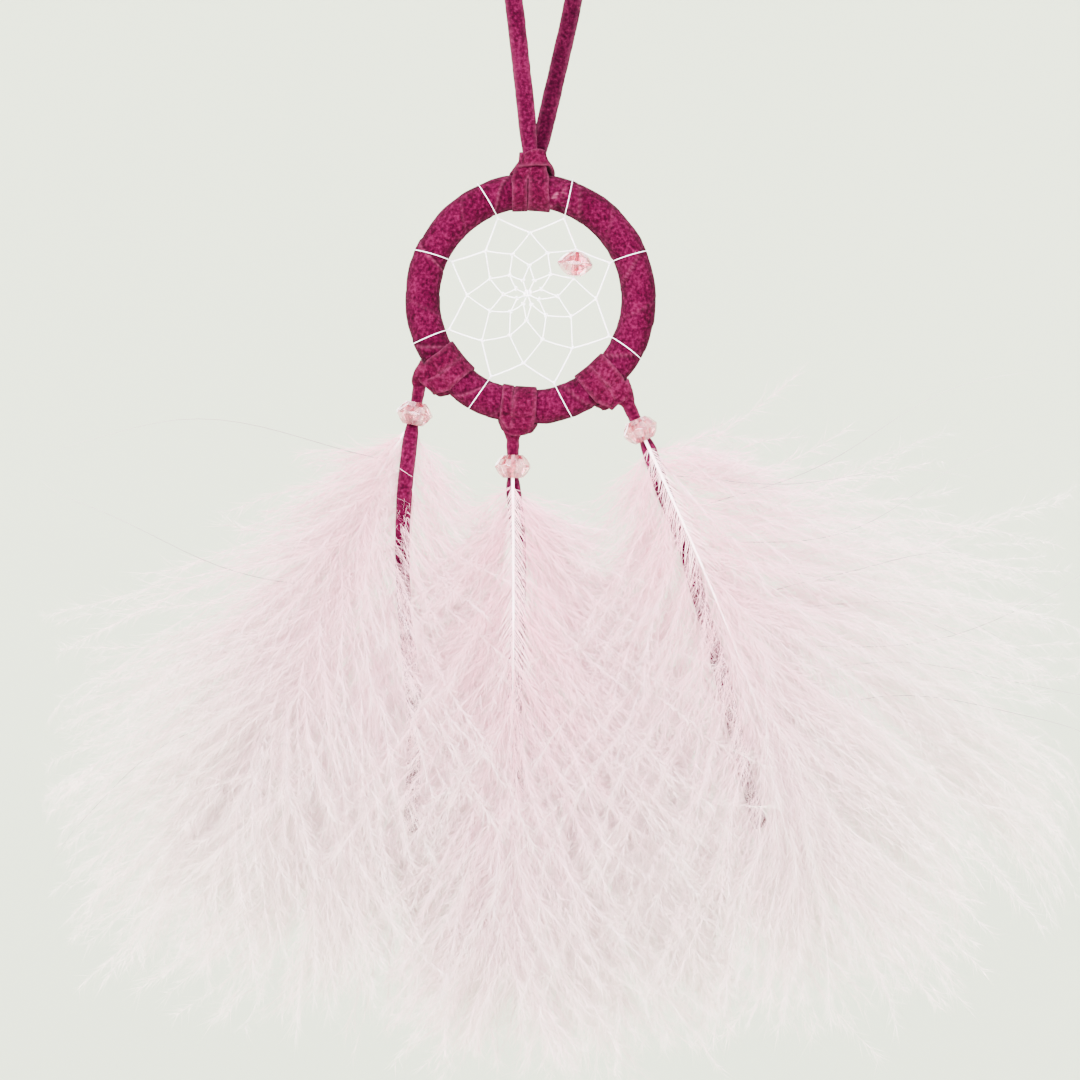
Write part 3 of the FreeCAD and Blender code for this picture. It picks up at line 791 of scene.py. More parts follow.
@dataclass
class CowHitch:
    """A lace hitched round the hoop: bands over the tube and a bight across them.

    Its own directions are along the tube, to the front, and out from the hoop."""

    name: str
    angle: float                                   # its place on the hoop, degrees
    bands: Sequence[tuple[float, float, float]]    # middle, width and lean of each
    bight: Sequence[Sequence[float]]               # along, front, out, tilt, width
    inner: float = 3.66                            # tube to the bands' inside
    thickness: float = 0.75
    lead: Sequence[tuple[float, float]] = ((0.2, 7.6), (1.2, 6.2), (2.5, 5.0))
    seed: float = 0.0
    rows: int = 110                                # points down each band

    def world(self, local: np.ndarray) -> np.ndarray:
        """Turns the hitch's own coordinates into the object's.

        Args:
            local: along, front and out, in millimetres.

        Returns:
            The places, in millimetres.
        """
        turn = math.radians(self.angle)
        out = np.array([math.cos(turn), 0.0, math.sin(turn)])
        along = np.array([math.sin(turn), 0.0, -math.cos(turn)])
        centre = np.array(on_hoop(HOOP_RADIUS, self.angle))
        basis = np.stack([along, np.array(FRONT), out])
        return centre + np.asarray(local) @ basis

    def direction(self, local: np.ndarray) -> np.ndarray:
        """Turns directions of the hitch into directions of the object."""
        return self.world(local) - self.world(np.zeros(3))

    def band(self, index: int, middle: float, width: float, lean: float
             ) -> bpy.types.Object:
        """Makes one band: out from under the bight, round the tube and up its back.

        Args:
            index: number of the band.
            middle: its middle, along the tube.
            width: its width on the tube.
            lean: how far it wanders along the tube from outside to inside.

        Returns:
            The band.
        """
        radius = self.inner + self.thickness / 2
        rows = [(middle * 0.45 - lean * 0.3, front, out) for front, out in self.lead]
        for angle in range(52, 331, 14):
            turn = math.radians(angle)
            drift = middle + lean * (1 - math.cos(turn)) / 2 * (1 if angle < 181 else 0.6)
            square = 1 + 0.03 * math.cos(4 * turn)
            rows.append((drift, radius * square * math.sin(turn),
                         radius * square * math.cos(turn)))
        rows.append((middle * 0.9, -2.1, 4.9))
        line = eased(rows, self.rows)
        share = np.linspace(0, 1, self.rows)
        widths = width * (0.80 + 0.20 * np.clip(share / 0.16, 0, 1))
        widths = widths * (1 + 0.05 * np.sin(9 * share + self.seed + index))
        across = np.tile([1.0, 0.0, 0.0], (self.rows, 1))
        across[:, 2] += 0.12 * np.sin(5 * share + index)
        return Sweep(f"{self.name}_band_{index}", self.world(line),
                     self.direction(across), widths, self.thickness, 0.3, 0.07,
                     self.seed + index).build()

    def build(self) -> bpy.types.Object:
        """Makes the whole hitch as one piece."""
        parts = [self.band(i, *band) for i, band in enumerate(self.bands)]
        rows = eased(self.bight, 90)
        tilt = rows[:, 3]
        across = np.stack([np.sin(tilt), np.zeros(90), np.cos(tilt)], 1)
        across[:, 1] = -0.25 * np.cos(np.linspace(-1.5, 1.5, 90))
        parts.append(Sweep(
            f"{self.name}_bight", self.world(rows[:, :3]), self.direction(across),
            rows[:, 4], self.thickness * 1.05, 0.34, 0.07, self.seed + 5).build())
        return joined(self.name, parts)


# ------------------------------------------------------------------ hanging loop


@dataclass
class HangingLoop:
    """Two strands of one lace, from the top hitch to the knot that ties their ends."""

    tuck: float = 3.0              # how far a strand runs on behind the bight
    left: Sequence[tuple[float, float]] = (
        (-0.2, 32.8), (-1.7, 48.0), (-3.7, 65.0), (-5.6, 79.0), (-5.9, 91.0),
        (-4.6, 101.0), (-2.4, 107.0), (-2.0, 111.0))
    right: Sequence[tuple[float, float]] = (
        (2.0, 32.8), (5.5, 48.0), (9.5, 65.0), (10.9, 77.0), (11.0, 87.0),
        (8.6, 96.5), (4.6, 103.5), (2.3, 111.0))
    layer: float = 0.675           # each strand's middle, before and behind the plane
    lengths: tuple[float, float] = (81.9, 83.6)
    width: float = 3.9
    rows: int = 260                # points down each strand
    knot_size: tuple[float, float] = (9.0, 6.0)
    knot_middle: float = 5.2

    def strand(self, side: str, finish: bpy.types.Material) -> bpy.types.Object:
        """Args:
            side: left or right.
            finish: its suede.

        Returns:
            The strand.
        """
        front = side == "left"
        y = -self.layer if front else self.layer
        route = [HOOP_CENTRE + Vector((x, y, z)) for x, z in
                 (self.left if front else self.right)]
        way = (route[1] - route[0]).normalized()
        first = route[0] - way * self.tuck + Vector((0, -0.5 if front else -0.1, 0))
        line, _ = spaced(smooth_line([first] + route), self.rows)
        share = np.linspace(0, 1, self.rows)
        across = np.tile([1.0, 0.0, 0.0], (self.rows, 1))
        across[:, 1] = 0.22 * np.sin(6 * share + (0 if front else 2.0)) * np.minimum(
            1, 6 * share)
        width = self.width * (1 - 0.2 * np.exp(-((share / 0.06) ** 2)))
        obj = Sweep(f"strand_{side}", line, across, width, LACE_THICKNESS, 0.34, 0.06,
                    3.0 if front else 11.0).build()
        dress(obj, finish)
        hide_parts(f"hanger_strand_{side}")
        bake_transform(obj)
        return obj

    def knot(self, finish: bpy.types.Material) -> bpy.types.Object:
        """Makes the overhand knot of both strands, with its two cut tails.

        Args:
            finish: its suede.

        Returns:
            The knot, one piece.
        """
        parts = []
        half = np.array(self.knot_size) / 2
        for turn, (lift, tip, seed) in enumerate(((-0.9, 0.5, 1.0), (1.1, -0.4, 6.0))):
            rows = []
            for step in range(0, 391, 15):
                angle = math.radians(step + 40)
                climb = (step / 390 - 0.5) * 3.4 * (1 if turn else -1)
                rows.append(((half[0] - 0.75) * math.cos(angle),
                             (half[1] - 0.75) * math.sin(angle),
                             self.knot_middle + lift + climb + tip * math.cos(angle)))
            line = eased(rows, 110)
            parts.append(Sweep(f"knot_turn_{turn}", line, (0.1, 0.0, 1.0), 3.3, 1.25,
                               0.4, 0.08, seed).build())
        core = [(0.6, 0.3, 1.2), (-0.8, -0.6, 3.2), (0.7, 0.5, 5.2), (-0.3, -0.2, 7.4),
                (0.0, 0.0, 9.4)]
        parts.append(Sweep("knot_core", eased(core, 60), (1.0, 0.2, 0.0), 5.6, 3.4, 1.2,
                           0.1, 9.0).build())
        for side, lean in ((-1, -14.0), (1, 10.0)):
            turn = leaned(lean)
            foot = Vector((side * 1.2, side * self.layer, self.knot_middle))
            rows = [tuple(foot + turn @ Vector((0.5 * math.sin(h / 3), 0.25 * side
                                                * math.sin(h / 2.4), h)))
                    for h in (-1.0, 2.0, 5.0, 8.0, 11.4)]
            parts.append(Sweep(f"knot_tail_{side}", eased(rows, 70),
                               turn @ Vector((1, 0.15 * side, 0)), LACE_WIDTH,
                               LACE_THICKNESS, 0.34, 0.06, 20 + side).build())
        obj = joined("end_knot", parts)
        dress(obj, finish)
        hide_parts("hanger_end_knot")
        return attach(obj, "hanger")


# ------------------------------------------------------------------ hoop


@dataclass
class Seam:
    """One place where the wound lace laps over itself."""

    angle: float         # on the hoop's front, degrees
    slant: float         # degrees round the hoop for a quarter turn round the tube
    depth: float = 0.32
    back: bool = False


@dataclass
class Hoop:
    """The steel ring's wrap: one broad suede lace wound on, its laps and torn end."""

    seams: Sequence[Seam] = (
        Seam(106.0, -9.0), Seam(62.0, 7.0, 0.22), Seam(17.0, 12.0, 0.25),
        Seam(157.0, -6.0, 0.3), Seam(-122.0, -10.0, 0.26), Seam(-66.0, 8.0, 0.22),
        Seam(-154.0, -7.0, 0.28), Seam(-33.0, 9.0, 0.3), Seam(-105.0, -6.0, 0.2),
        Seam(128.0, -8.0, 0.1), Seam(42.0, 9.0, 0.1), Seam(-8.0, 9.0, 0.12),
        Seam(-176.0, -8.0, 0.1), Seam(90.0, -9.0, 0.26, True), Seam(35.0, 9.0, 0.26, True),
        Seam(-20.0, 8.0, 0.26, True), Seam(-75.0, -9.0, 0.26, True),
        Seam(-135.0, 8.0, 0.26, True), Seam(170.0, -8.0, 0.26, True))
    torn_angle: float = 73.5
    pressed: Sequence[tuple[float, float]] = (      # angle and half width, degrees
        (90.0, 8.5), (-140.2, 9.5), (-96.0, 8.5), (-49.1, 9.5))

    def build(self, finish: bpy.types.Material, steel: bpy.types.Material) -> None:
        """Models the wrap and dresses the ring inside it.

        Args:
            finish: the wrap's suede.
            steel: the ring's metal.
        """
        deselect()
        bpy.ops.mesh.primitive_torus_add(
            location=HOOP_CENTRE * MM, rotation=(math.pi / 2, 0, 0),
            major_radius=HOOP_RADIUS * MM, minor_radius=TUBE_RADIUS * MM,
            major_segments=760, minor_segments=68)
        obj = settle("wound_lace", 60)
        count = len(obj.data.vertices)
        place = np.zeros(count * 3)
        obj.data.vertices.foreach_get("co", place)
        place = place.reshape(-1, 3) / MM
        flat = place - np.array(HOOP_CENTRE)
        around = np.arctan2(flat[:, 2], flat[:, 0])
        radial = np.hypot(flat[:, 0], flat[:, 2]) - HOOP_RADIUS
        front = np.arctan2(radial, -flat[:, 1])          # 0 at the front, + outwards
        outward = np.stack([np.cos(around) * np.sin(front), -np.cos(front),
                            np.sin(around) * np.sin(front)], 1)
        lift, edge, fold = self.relief(place, around, front, radial)
        self.tear(place, lift, edge, fold)
        place = place + outward * np.clip(lift, -1.0, 0.8)[:, None]
        obj.data.vertices.foreach_set("co", (place * MM).ravel())
        obj.data.update()
        point_value(obj, "cut_edge", np.clip(edge, 0, 1))
        # painted shade: darkest in the gaps under the laps and in the small hole
        point_value(obj, "fold", np.clip(fold, 0, 1) * 0.8)
        dress(obj, finish)
        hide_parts("hoop_wrap")
        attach(obj, "hoop")
        dress(bpy.data.objects["hoop_core"], steel)

    def relief(self, place: np.ndarray, around: np.ndarray, front: np.ndarray,
               radial: np.ndarray) -> tuple[np.ndarray, np.ndarray, np.ndarray]:
        """Works out the laps of the wrap, flat where a hitch presses on it.

        Args:
            place: the wrap's points, in millimetres.
            around: each one's angle on the hoop.
            front: each one's angle on the tube, from the front outwards.
            radial: how far each one lies outside the tube's middle line.

        Returns:
            How far each point lifts, its cut_edge values, and its painted shade in the lap
            gaps.
        """
        lift = bumps(place, 4.5, 2.0) * 0.16 + bumps(place, 1.6, 8.0) * 0.07
        edge, fold = np.zeros(len(place)), np.zeros(len(place))
        for seam in self.seams:
            turn = front if not seam.back else np.where(
                front > 0, front - math.pi, front + math.pi)
            facing = np.clip(np.cos(turn) + 0.25, 0, 1) ** 0.6
            lap = seam.angle + seam.slant * 2 / math.pi * (-turn if seam.back else turn)
            off = around - np.radians(lap)
            off = (off + math.pi) % (2 * math.pi) - math.pi
            reach = off * (HOOP_RADIUS + radial) + 0.3 * bumps(place, 2.6, seam.angle)
            step = 1 / (1 + np.exp(-reach / 0.14)) * np.exp(-np.maximum(reach, 0) / 5.0)
            gap = np.exp(-(((reach + 0.2) / 0.32) ** 2))
            strength = facing * seam.depth / 0.3
            lift += strength * (0.34 * step - 0.34 * gap)
            edge = np.maximum(edge, strength * 0.2
                              * np.exp(-(((reach - 0.32) / 0.26) ** 2)))
            # painted shade in the gap under each lap
            fold = np.maximum(fold, strength * np.exp(-(((reach + 0.2) / 0.34) ** 2)))
        for angle, half in self.pressed:
            off = (np.degrees(around) - angle + 180) % 360 - 180
            under = 1 / (1 + np.exp((np.abs(off) - half) / 0.8))
            lift = lift * (1 - 0.9 * under) - 0.22 * under
            edge, fold = edge * (1 - under), fold * (1 - under)
        return lift, edge, fold

    def tear(self, place: np.ndarray, lift: np.ndarray, edge: np.ndarray,
             fold: np.ndarray) -> None:
        """Adds the lace's torn end, with the small hole beside it, darkened by painted
        shade.

        Args:
            place: the wrap's points, in millimetres.
            lift: how far each point lifts, changed here.
            edge: cut_edge values, changed here.
            fold: painted shade values, changed here.
        """
        torn = on_hoop(HOOP_RADIUS - 1.6, self.torn_angle) + FRONT * 2.6
        near = np.linalg.norm(place - np.array(torn), axis=1)
        rag = np.exp(-((near / 2.3) ** 2))
        lift += rag * (0.85 * bumps(place, 0.9, 31.0) + 0.15)
        fuzz = np.clip(bumps(place, 0.7, 35.0) * 2.2 - 0.25, 0, 1)
        np.maximum(edge, rag * fuzz, out=edge)
        hole = on_hoop(HOOP_RADIUS - 3.2, self.torn_angle - 1.5) + FRONT * 1.6
        dent = np.exp(-((np.linalg.norm(place - np.array(hole), axis=1) / 1.25) ** 2))
        lift -= dent * 0.95
        # painted shade in the small hole
        np.maximum(fold, dent, out=fold)


# ------------------------------------------------------------------ web


def cord_tube(
    line: np.ndarray, radius: float, sides: int, plies: int = 1, pitch: float = 1.0
) -> tuple[np.ndarray, list[tuple[int, ...]]]:
    """Sweeps a round thread, plain or laid up of plies, along a line.

    Args:
        line: n by 3, in millimetres.
        radius: of the whole thread.
        sides: corners of each ply.
        plies: how many are twisted together.
        pitch: length of one full twist.

    Returns:
        Points and faces of closed tubes.
    """
    along = unit(np.gradient(line, axis=0))
    helper = np.where(np.abs(along[:, 1:2]) < 0.8, [[0.0, 1.0, 0.0]], [[1.0, 0.0, 0.0]])
    first = unit(np.cross(along, helper))
    second = np.cross(along, first)
    run = np.concatenate([[0], np.cumsum(np.linalg.norm(np.diff(line, axis=0), axis=1))])
    points, faces = [], []
    ply_radius = radius if plies == 1 else radius * 0.56
    for ply in range(plies):
        turn = 2 * math.pi * (run / pitch + ply / plies)
        offset = 0.0 if plies == 1 else radius - ply_radius
        middle = line + offset * (np.cos(turn)[:, None] * first
                                  + np.sin(turn)[:, None] * second)
        base = sum(len(p) for p in points)
        ring = []
        for k in range(sides):
            angle = 2 * math.pi * k / sides
            ring.append(middle + ply_radius * (math.cos(angle) * first
                                               + math.sin(angle) * second))
        points.append(np.stack(ring, 1).reshape(-1, 3))
        for i in range(len(line) - 1):
            for k in range(sides):
                j = (k + 1) % sides
                faces.append((base + i * sides + k, base + i * sides + j,
                              base + (i + 1) * sides + j, base + (i + 1) * sides + k))
        faces.append(tuple(base + k for k in reversed(range(sides))))
        last = base + (len(line) - 1) * sides
        faces.append(tuple(last + k for k in range(sides)))
    return np.vstack(points), faces


def gathered(
    name: str, parts: Sequence[tuple[np.ndarray, list[tuple[int, ...]]]]
) -> bpy.types.Object:
    """Makes one object of many closed tubes.

    Args:
        name: the piece's name.
        parts: points and faces of each tube.

    Returns:
        The object.
    """
    points, faces, base = [], [], 0
    for part_points, part_faces in parts:
        points.append(part_points)
        faces += [tuple(base + k for k in face) for face in part_faces]
        base += len(part_points)
    made_mesh(name, np.vstack(points), faces)
    return settle(name, 60)


@dataclass
class Web:
    """The thread net: each row hitched half way along the spans of the last."""

    anchors: Sequence[float] = (112.2, 67.6, 24.5, -25.4, -74.3, -117.1, -159.5, 154.5)
    slopes: Sequence[float] = (2.6, 3.0, -2.3, -3.4, 3.6, -2.4, 0.6, 2.8)
    pulls: Sequence[float] = (0.81, 0.75, 0.66, 0.5)
    uneven: Sequence[float] = (0.03, 0.05, 0.08, 0.12)
    outer_thread: float = 0.40     # diameter in the first row
    inner_thread: float = 0.31     # diameter further in
    turn_thread: float = 0.20      # diameter round the hoop
    turn_radius: float = 4.09      # of the turns round the tube
    knot: float = 0.56
    twist: float = 1.1             # millimetres for one turn of the plies
    anchor_radius: float = 18.99
    rows: list[list[Vector]] = field(default_factory=list)

    @property
    def middle(self) -> Vector:
        """Where the last row is drawn together."""
        return HOOP_CENTRE + Vector((-0.7, 0.0, 1.2))

    def __post_init__(self) -> None:
        """Lays out the knots of every row."""
        self.rows = [[on_hoop(self.anchor_radius, angle) for angle in self.anchors]]
        for number, (pull, uneven) in enumerate(zip(self.pulls, self.uneven)):
            last, knots = self.rows[-1], []
            for index, knot in enumerate(last):
                half_way = (knot + last[(index + 1) % len(last)]) / 2
                share = pull * (1 + uneven * math.sin(0.8 * index + number))
                knots.append(self.middle + (half_way - self.middle) * share)
            self.rows.append(knots)

    def span(self, start: Vector, end: Vector, number: int
             ) -> tuple[np.ndarray, list[tuple[int, ...]]]:
        """Makes one run of two-ply thread between two knots, very slightly slack.

        Args:
            start: one knot.
            end: the other.
            number: of the run, counted from the hoop inwards.

        Returns:
            Its points and faces.
        """
        count = max(10, int((end - start).length / 0.2))
        share = np.linspace(0, 1, count)[:, None]
        line = np.array(start) * (1 - share) + np.array(end) * share
        line[:, 1] += 0.10 * math.sin(number * 2.1) * np.sin(math.pi * share[:, 0])
        line[:, 2] -= 0.12 * np.sin(math.pi * share[:, 0])
        outer = number < 2 * len(self.anchors)
        thread = self.outer_thread if outer else self.inner_thread
        return cord_tube(line, thread / 2, 5, 2, self.twist)

    def hitch(self, at: Vector, along: Vector, size: float
              ) -> tuple[np.ndarray, list[tuple[int, ...]]]:
        """Makes the turns of a half hitch about one knot of the web.

        Args:
            at: the knot.
            along: direction of the thread that it is tied on.
            size: of the knot.

        Returns:
            Its points and faces.
        """
        way = along.normalized()
        side = way.cross(FRONT).normalized()
        steps = np.linspace(0, 2.4 * 2 * math.pi, 34)
        line = np.array([
            at + way * ((s / (4.8 * math.pi) - 0.5) * size * 1.5)
            + (side * math.cos(s) + FRONT * math.sin(s)) * (size * 0.36) for s in steps])
        return cord_tube(line, size * 0.24, 5)

    def build(self, finish: bpy.types.Material) -> None:
        """Makes the net and the turns round the hoop.

        Args:
            finish: the thread.
        """
        parts = []
        number = 0
        for row, after in zip(self.rows, self.rows[1:]):
            for index, knot in enumerate(after):
                parts.append(self.span(row[index], knot, number))
                parts.append(self.span(knot, row[(index + 1) % len(row)], number + 1))
                number += 2
        for knot in self.rows[-1]:
            parts.append(self.span(knot, self.middle, number))
            number += 1
        for row, before in zip(self.rows[1:], self.rows):
            for index, knot in enumerate(row):
                along = before[(index + 1) % len(before)] - before[index]
                parts.append(self.hitch(knot, along, self.knot))
        for knot in self.rows[0]:
            parts.append(self.hitch(knot, knot - HOOP_CENTRE, self.knot))
        parts.append(self.hitch(self.middle, Vector((1, 0, 0.4)), 1.1))
        parts.append(self.hitch(self.middle, Vector((-0.3, 0, 1)), 0.9))
        net = gathered("thread_net", parts)
        dress(net, finish)
        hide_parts("web_net")
        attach(net, "hoop")
        loops = [self.turn(angle, slope) for angle, slope
                 in zip(self.anchors, self.slopes)]
        turns = gathered("thread_turns", loops)
        dress(turns, finish)
        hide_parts("web_turns")
        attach(turns, "hoop")

    def turn(self, angle: float, slope: float
             ) -> tuple[np.ndarray, list[tuple[int, ...]]]:
        """Makes one turn of thread round the hoop, from its knot and back to it.

        Args:
            angle: the knot's place on the hoop, degrees.
            slope: how far the turn wanders along the tube, degrees.

        Returns:
            Its points and faces.
        """
        rows = [on_hoop(self.anchor_radius, angle)]
        for step in range(24, 337, 12):
            turn = math.radians(step)
            off = slope * (1 - math.cos(turn)) / 2 * (1.0 if step < 181 else 0.8)
            inward = HOOP_RADIUS - self.turn_radius * math.cos(turn)
            place = on_hoop(inward, angle + off)
            rows.append(place + FRONT * self.turn_radius * math.sin(turn))
        rows.append(on_hoop(self.anchor_radius, angle))
        return cord_tube(eased([tuple(r) for r in rows], 130), self.turn_thread / 2, 5,
                         2, self.twist)


# ------------------------------------------------------------------ beads


@dataclass
class CutBead:
    """A faceted rondelle: two rows of facets, a narrow girdle and a drilled hole."""

    name: str
    middle: Vector
    axis: Vector
    diameter: float = 8.0
    height: float = 5.0
    face: float = 4.6
    hole: float = 3.4
    facets: int = 10
    turn: float = 0.0
    waist: float = 0.62            # height of the middle rings, as a share of half

    def build(self, finish: bpy.types.Material, *nodes: str) -> bpy.types.Object:
        """Models the bead ring by ring from a circle and puts it on its axis.

        Args:
            finish: its acrylic.
            nodes: CAD nodes that it stands for.

        Returns:
            The bead.
        """
        half = self.height / 2
        low = -half + 0.06
        shoulder = self.face / 2 + (self.diameter - self.face) * 0.22
        rings = [
            (self.hole / 2, low), (self.face / 2 - 0.1, -half),
            (shoulder, -half * self.waist), (self.diameter / 2, -0.2),
            (self.diameter / 2, 0.2), (shoulder, half * self.waist),
            (self.face / 2 - 0.1, half), (self.hole / 2, -low)]
        deselect()
        bpy.ops.mesh.primitive_circle_add(
            vertices=self.facets * 2, radius=rings[0][0] * MM,
            location=(0, 0, rings[0][1] * MM))
        bpy.ops.object.transform_apply(location=True, rotation=True, scale=True)
        bpy.ops.object.mode_set(mode="EDIT")
        bpy.ops.mesh.select_mode(type="VERT")
        bpy.ops.mesh.select_all(action="SELECT")
        radius, height = rings[0]
        for next_radius, next_height in rings[1:]:
            bpy.ops.mesh.extrude_edges_move(TRANSFORM_OT_translate={
                "value": (0, 0, (next_height - height) * MM)})
            share = next_radius / radius
            bpy.ops.transform.resize(value=(share, share, 1.0), center_override=(0, 0, 0))
            radius, height = next_radius, next_height
        bpy.ops.mesh.select_all(action="DESELECT")
        bpy.ops.mesh.select_non_manifold()
        bpy.ops.mesh.bridge_edge_loops()
        bpy.ops.object.mode_set(mode="OBJECT")
        obj = bpy.context.view_layer.objects.active
        self.cut(obj, half)
        turn = Vector((0, 0, 1)).rotation_difference(self.axis).to_matrix().to_4x4()
        spin = Matrix.Rotation(self.turn, 4, "Z")
        obj.data.transform(Matrix.Translation(self.middle * MM) @ turn @ spin)
        obj = settle(self.name, None)
        take(obj)
        bevel = obj.modifiers.new("worn_edges", "BEVEL")
        bevel.width, bevel.segments, bevel.limit_method = 0.07 * MM, 1, "ANGLE"
        bevel.angle_limit = math.radians(12)
        bpy.ops.object.modifier_apply(modifier=bevel.name)
        layer = obj.data.attributes.new("facet", "FLOAT", "FACE")
        faces = obj.data.polygons
        places = np.array([face.center for face in faces]) / MM
        tint = np.clip(0.5 + 1.4 * bumps(places, 0.6, self.diameter), 0, 1)
        # the bevelled edge faces take the palest tint: a painted glint
        painted_glint = [face.area < BEVEL_GLINT_AREA for face in faces]
        values = np.where(painted_glint, 1.0, 0.75 * tint)
        layer.data.foreach_set("value", values.astype(np.float32))
        dress(obj, finish)
        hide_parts(*nodes)
        return obj

    def cut(self, obj: bpy.types.Object, half: float) -> None:
        """Draws every other corner of the middle rings in, which cuts the facets.

        Args:
            obj: the bead, about its own axis.
            half: half its height.
        """
        step = math.pi / self.facets
        for vertex in obj.data.vertices:
            radius = math.hypot(vertex.co.x, vertex.co.y) / MM
            height = abs(vertex.co.z) / MM
            index = round(math.atan2(vertex.co.y, vertex.co.x) / step)
            odd = index % 2 == 1
            if abs(height - half * self.waist) < 0.05:
                grow = 1.035 if odd else 0.935
            elif radius > self.diameter / 2 - 0.1:
                grow = math.cos(step) + 0.004 if odd else 1.0
                vertex.co.z *= 2.2 if odd else 0.6
            else:
                grow = 1.0
            vertex.co.x *= grow
            vertex.co.y *= grow


# ------------------------------------------------------------------ plumes


class Place(Enum):
    """Which of a pendant's three plumes; only loose down has no shaft of its own."""

    FRONT = "front"
    BACK = "back"
    LOOSE = "loose"


@dataclass(frozen=True)
class Plume:
    """One marabou feather of a pendant: where its shaft runs and how its barbs fall.

    Pairs are for the barbs on the left and on the right of the shaft."""

    around: float            # place of the shaft in the bead's hole, degrees
    lean: float              # shaft's lean from straight down; positive leans to -X
    drift: float             # how it runs off the hoop's plane, per millimetre
    reach: tuple[float, float] = (60.0, 60.0)       # longest barbs
    fan: tuple[float, float] = (40.0, 40.0)         # first angle from the shaft
    curl: tuple[float, float] = (0.35, 0.35)        # how far they turn outwards
    ahead: tuple[float, float] = (0.0, 0.0)         # how far they come forward
    droop: float = 0.3       # how far weight turns them down
    barbs: int = 430
    hairs: int = 88
    bow: float = 0.0         # how far the shaft bows to the right
    pink: float = 1.0
    wisps: int = 0           # long barbs that stray from the rest, coloured dark grey as painted shade
    cover: float = 99.0      # from here on down, in millimetres, barbs hide the shaft
    veil: float = 0.7        # share of the down that is left over the lace
    seed: int = 1


def kept_in(points: np.ndarray) -> np.ndarray:
    """Eases hairs that stray too far back into the room that the plumes have.

    Args:
        points: n by 3, in millimetres.

    Returns:
        The points, none past the room's walls.
    """
    eased_in = points.copy()
    for axis, (low, high, soft) in enumerate(ROOM):
        for wall, sign in ((high, 1.0), (low, -1.0)):
            past = (points[:, axis] - wall) * sign + soft
            over = past > 0
            eased_in[over, axis] = wall + sign * (
                soft * (1 - np.exp(-past[over] / soft)) - soft)
    return eased_in


class HairCloud:
    """Thousands of tapering barbs, each a copy of one three-sided hair."""

    sides: int = 3           # corners of each hair's section

    def __init__(self) -> None:
        """Starts empty."""
        self.points: list[np.ndarray] = []
        self.faces: list[np.ndarray] = []
        self.chart: list[np.ndarray] = []
        self.count = 0

    def add(self, paths: np.ndarray, radius: np.ndarray, dye: np.ndarray,
            start: float = 0.0, end: float = 1.0) -> None:
        """Adds hairs along paths.

        Args:
            paths: hairs by rings by 3, in millimetres.
            radius: hairs by rings.
            dye: one value per hair, 0 white to 1 pink.
            start: where on a barb the hair starts, for the finish.
            end: where on a barb it ends.
        """
        hairs, rings, _ = paths.shape
        along = unit(np.gradient(paths, axis=1))
        helper = np.where(np.abs(along[:, :, 1:2]) < 0.7, [[[0.0, 1.0, 0.0]]],
                          [[[1.0, 0.0, 0.0]]])
        first = unit(np.cross(along, helper))
        second = np.cross(along, first)
        made = []
        for k in range(self.sides):
            angle = 2 * math.pi * k / self.sides
            made.append(paths + radius[:, :, None] * (
                math.cos(angle) * first + math.sin(angle) * second))
        body = np.stack(made, 2)[:, :-1].reshape(hairs, (rings - 1) * self.sides, 3)
        block = np.concatenate([body, paths[:, -1:]], 1)
        size = block.shape[1]
        pattern = []
        for ring in range(rings - 2):
            for k in range(self.sides):
                a, b = ring * self.sides + k, ring * self.sides + (k + 1) % self.sides
                pattern += [(a, b, b + self.sides), (a, b + self.sides, a + self.sides)]
        last = (rings - 2) * self.sides
        pattern += [(last + k, last + (k + 1) % self.sides, size - 1)
                    for k in range(self.sides)]
        pattern.append((2, 1, 0))
        base = self.count + np.arange(hairs) * size
        faces = np.array(pattern)[None] + base[:, None, None]
        place = np.linspace(start, end, rings)
        down = np.concatenate([np.repeat(place[:-1], self.sides), place[-1:]])
        spot = np.stack([np.broadcast_to(dye[:, None], (hairs, size)),
                         np.broadcast_to(down[None], (hairs, size))], 2)
        self.points.append(block.reshape(-1, 3))
        self.faces.append(faces.reshape(-1, 3))
        self.chart.append(spot.reshape(-1, 2))
        self.count += hairs * size

    def build(self, name: str) -> bpy.types.Object:
        """Makes the piece, with its dye chart.

        Args:
            name: the piece's name.

        Returns:
            The new object.
        """
        points, faces = kept_in(np.vstack(self.points)) * MM, np.vstack(self.faces)
        chart = np.clip(np.vstack(self.chart), 0.004, 0.996)
        mesh = bpy.data.meshes.new(name)
        mesh.vertices.add(len(points))
        mesh.vertices.foreach_set("co", points.astype(np.float32).ravel())
        mesh.loops.add(faces.size)
        mesh.loops.foreach_set("vertex_index", faces.astype(np.int32).ravel())
        mesh.polygons.add(len(faces))
        mesh.polygons.foreach_set(
            "loop_start", np.arange(0, faces.size, 3, dtype=np.int32))
        mesh.update(calc_edges=True)
        layer = mesh.uv_layers.new(name=DYE_CHART)
        jitter = np.array([[-0.003, 0.0], [0.003, 0.0], [0.0, 0.003]])
        spots = chart[faces] + jitter[None]
        layer.uv.foreach_set("vector", spots.astype(np.float32).ravel())
        obj = bpy.data.objects.new(name, mesh)
        bpy.context.scene.collection.objects.link(obj)
        take(obj)
        bpy.ops.object.shade_smooth()
        return obj


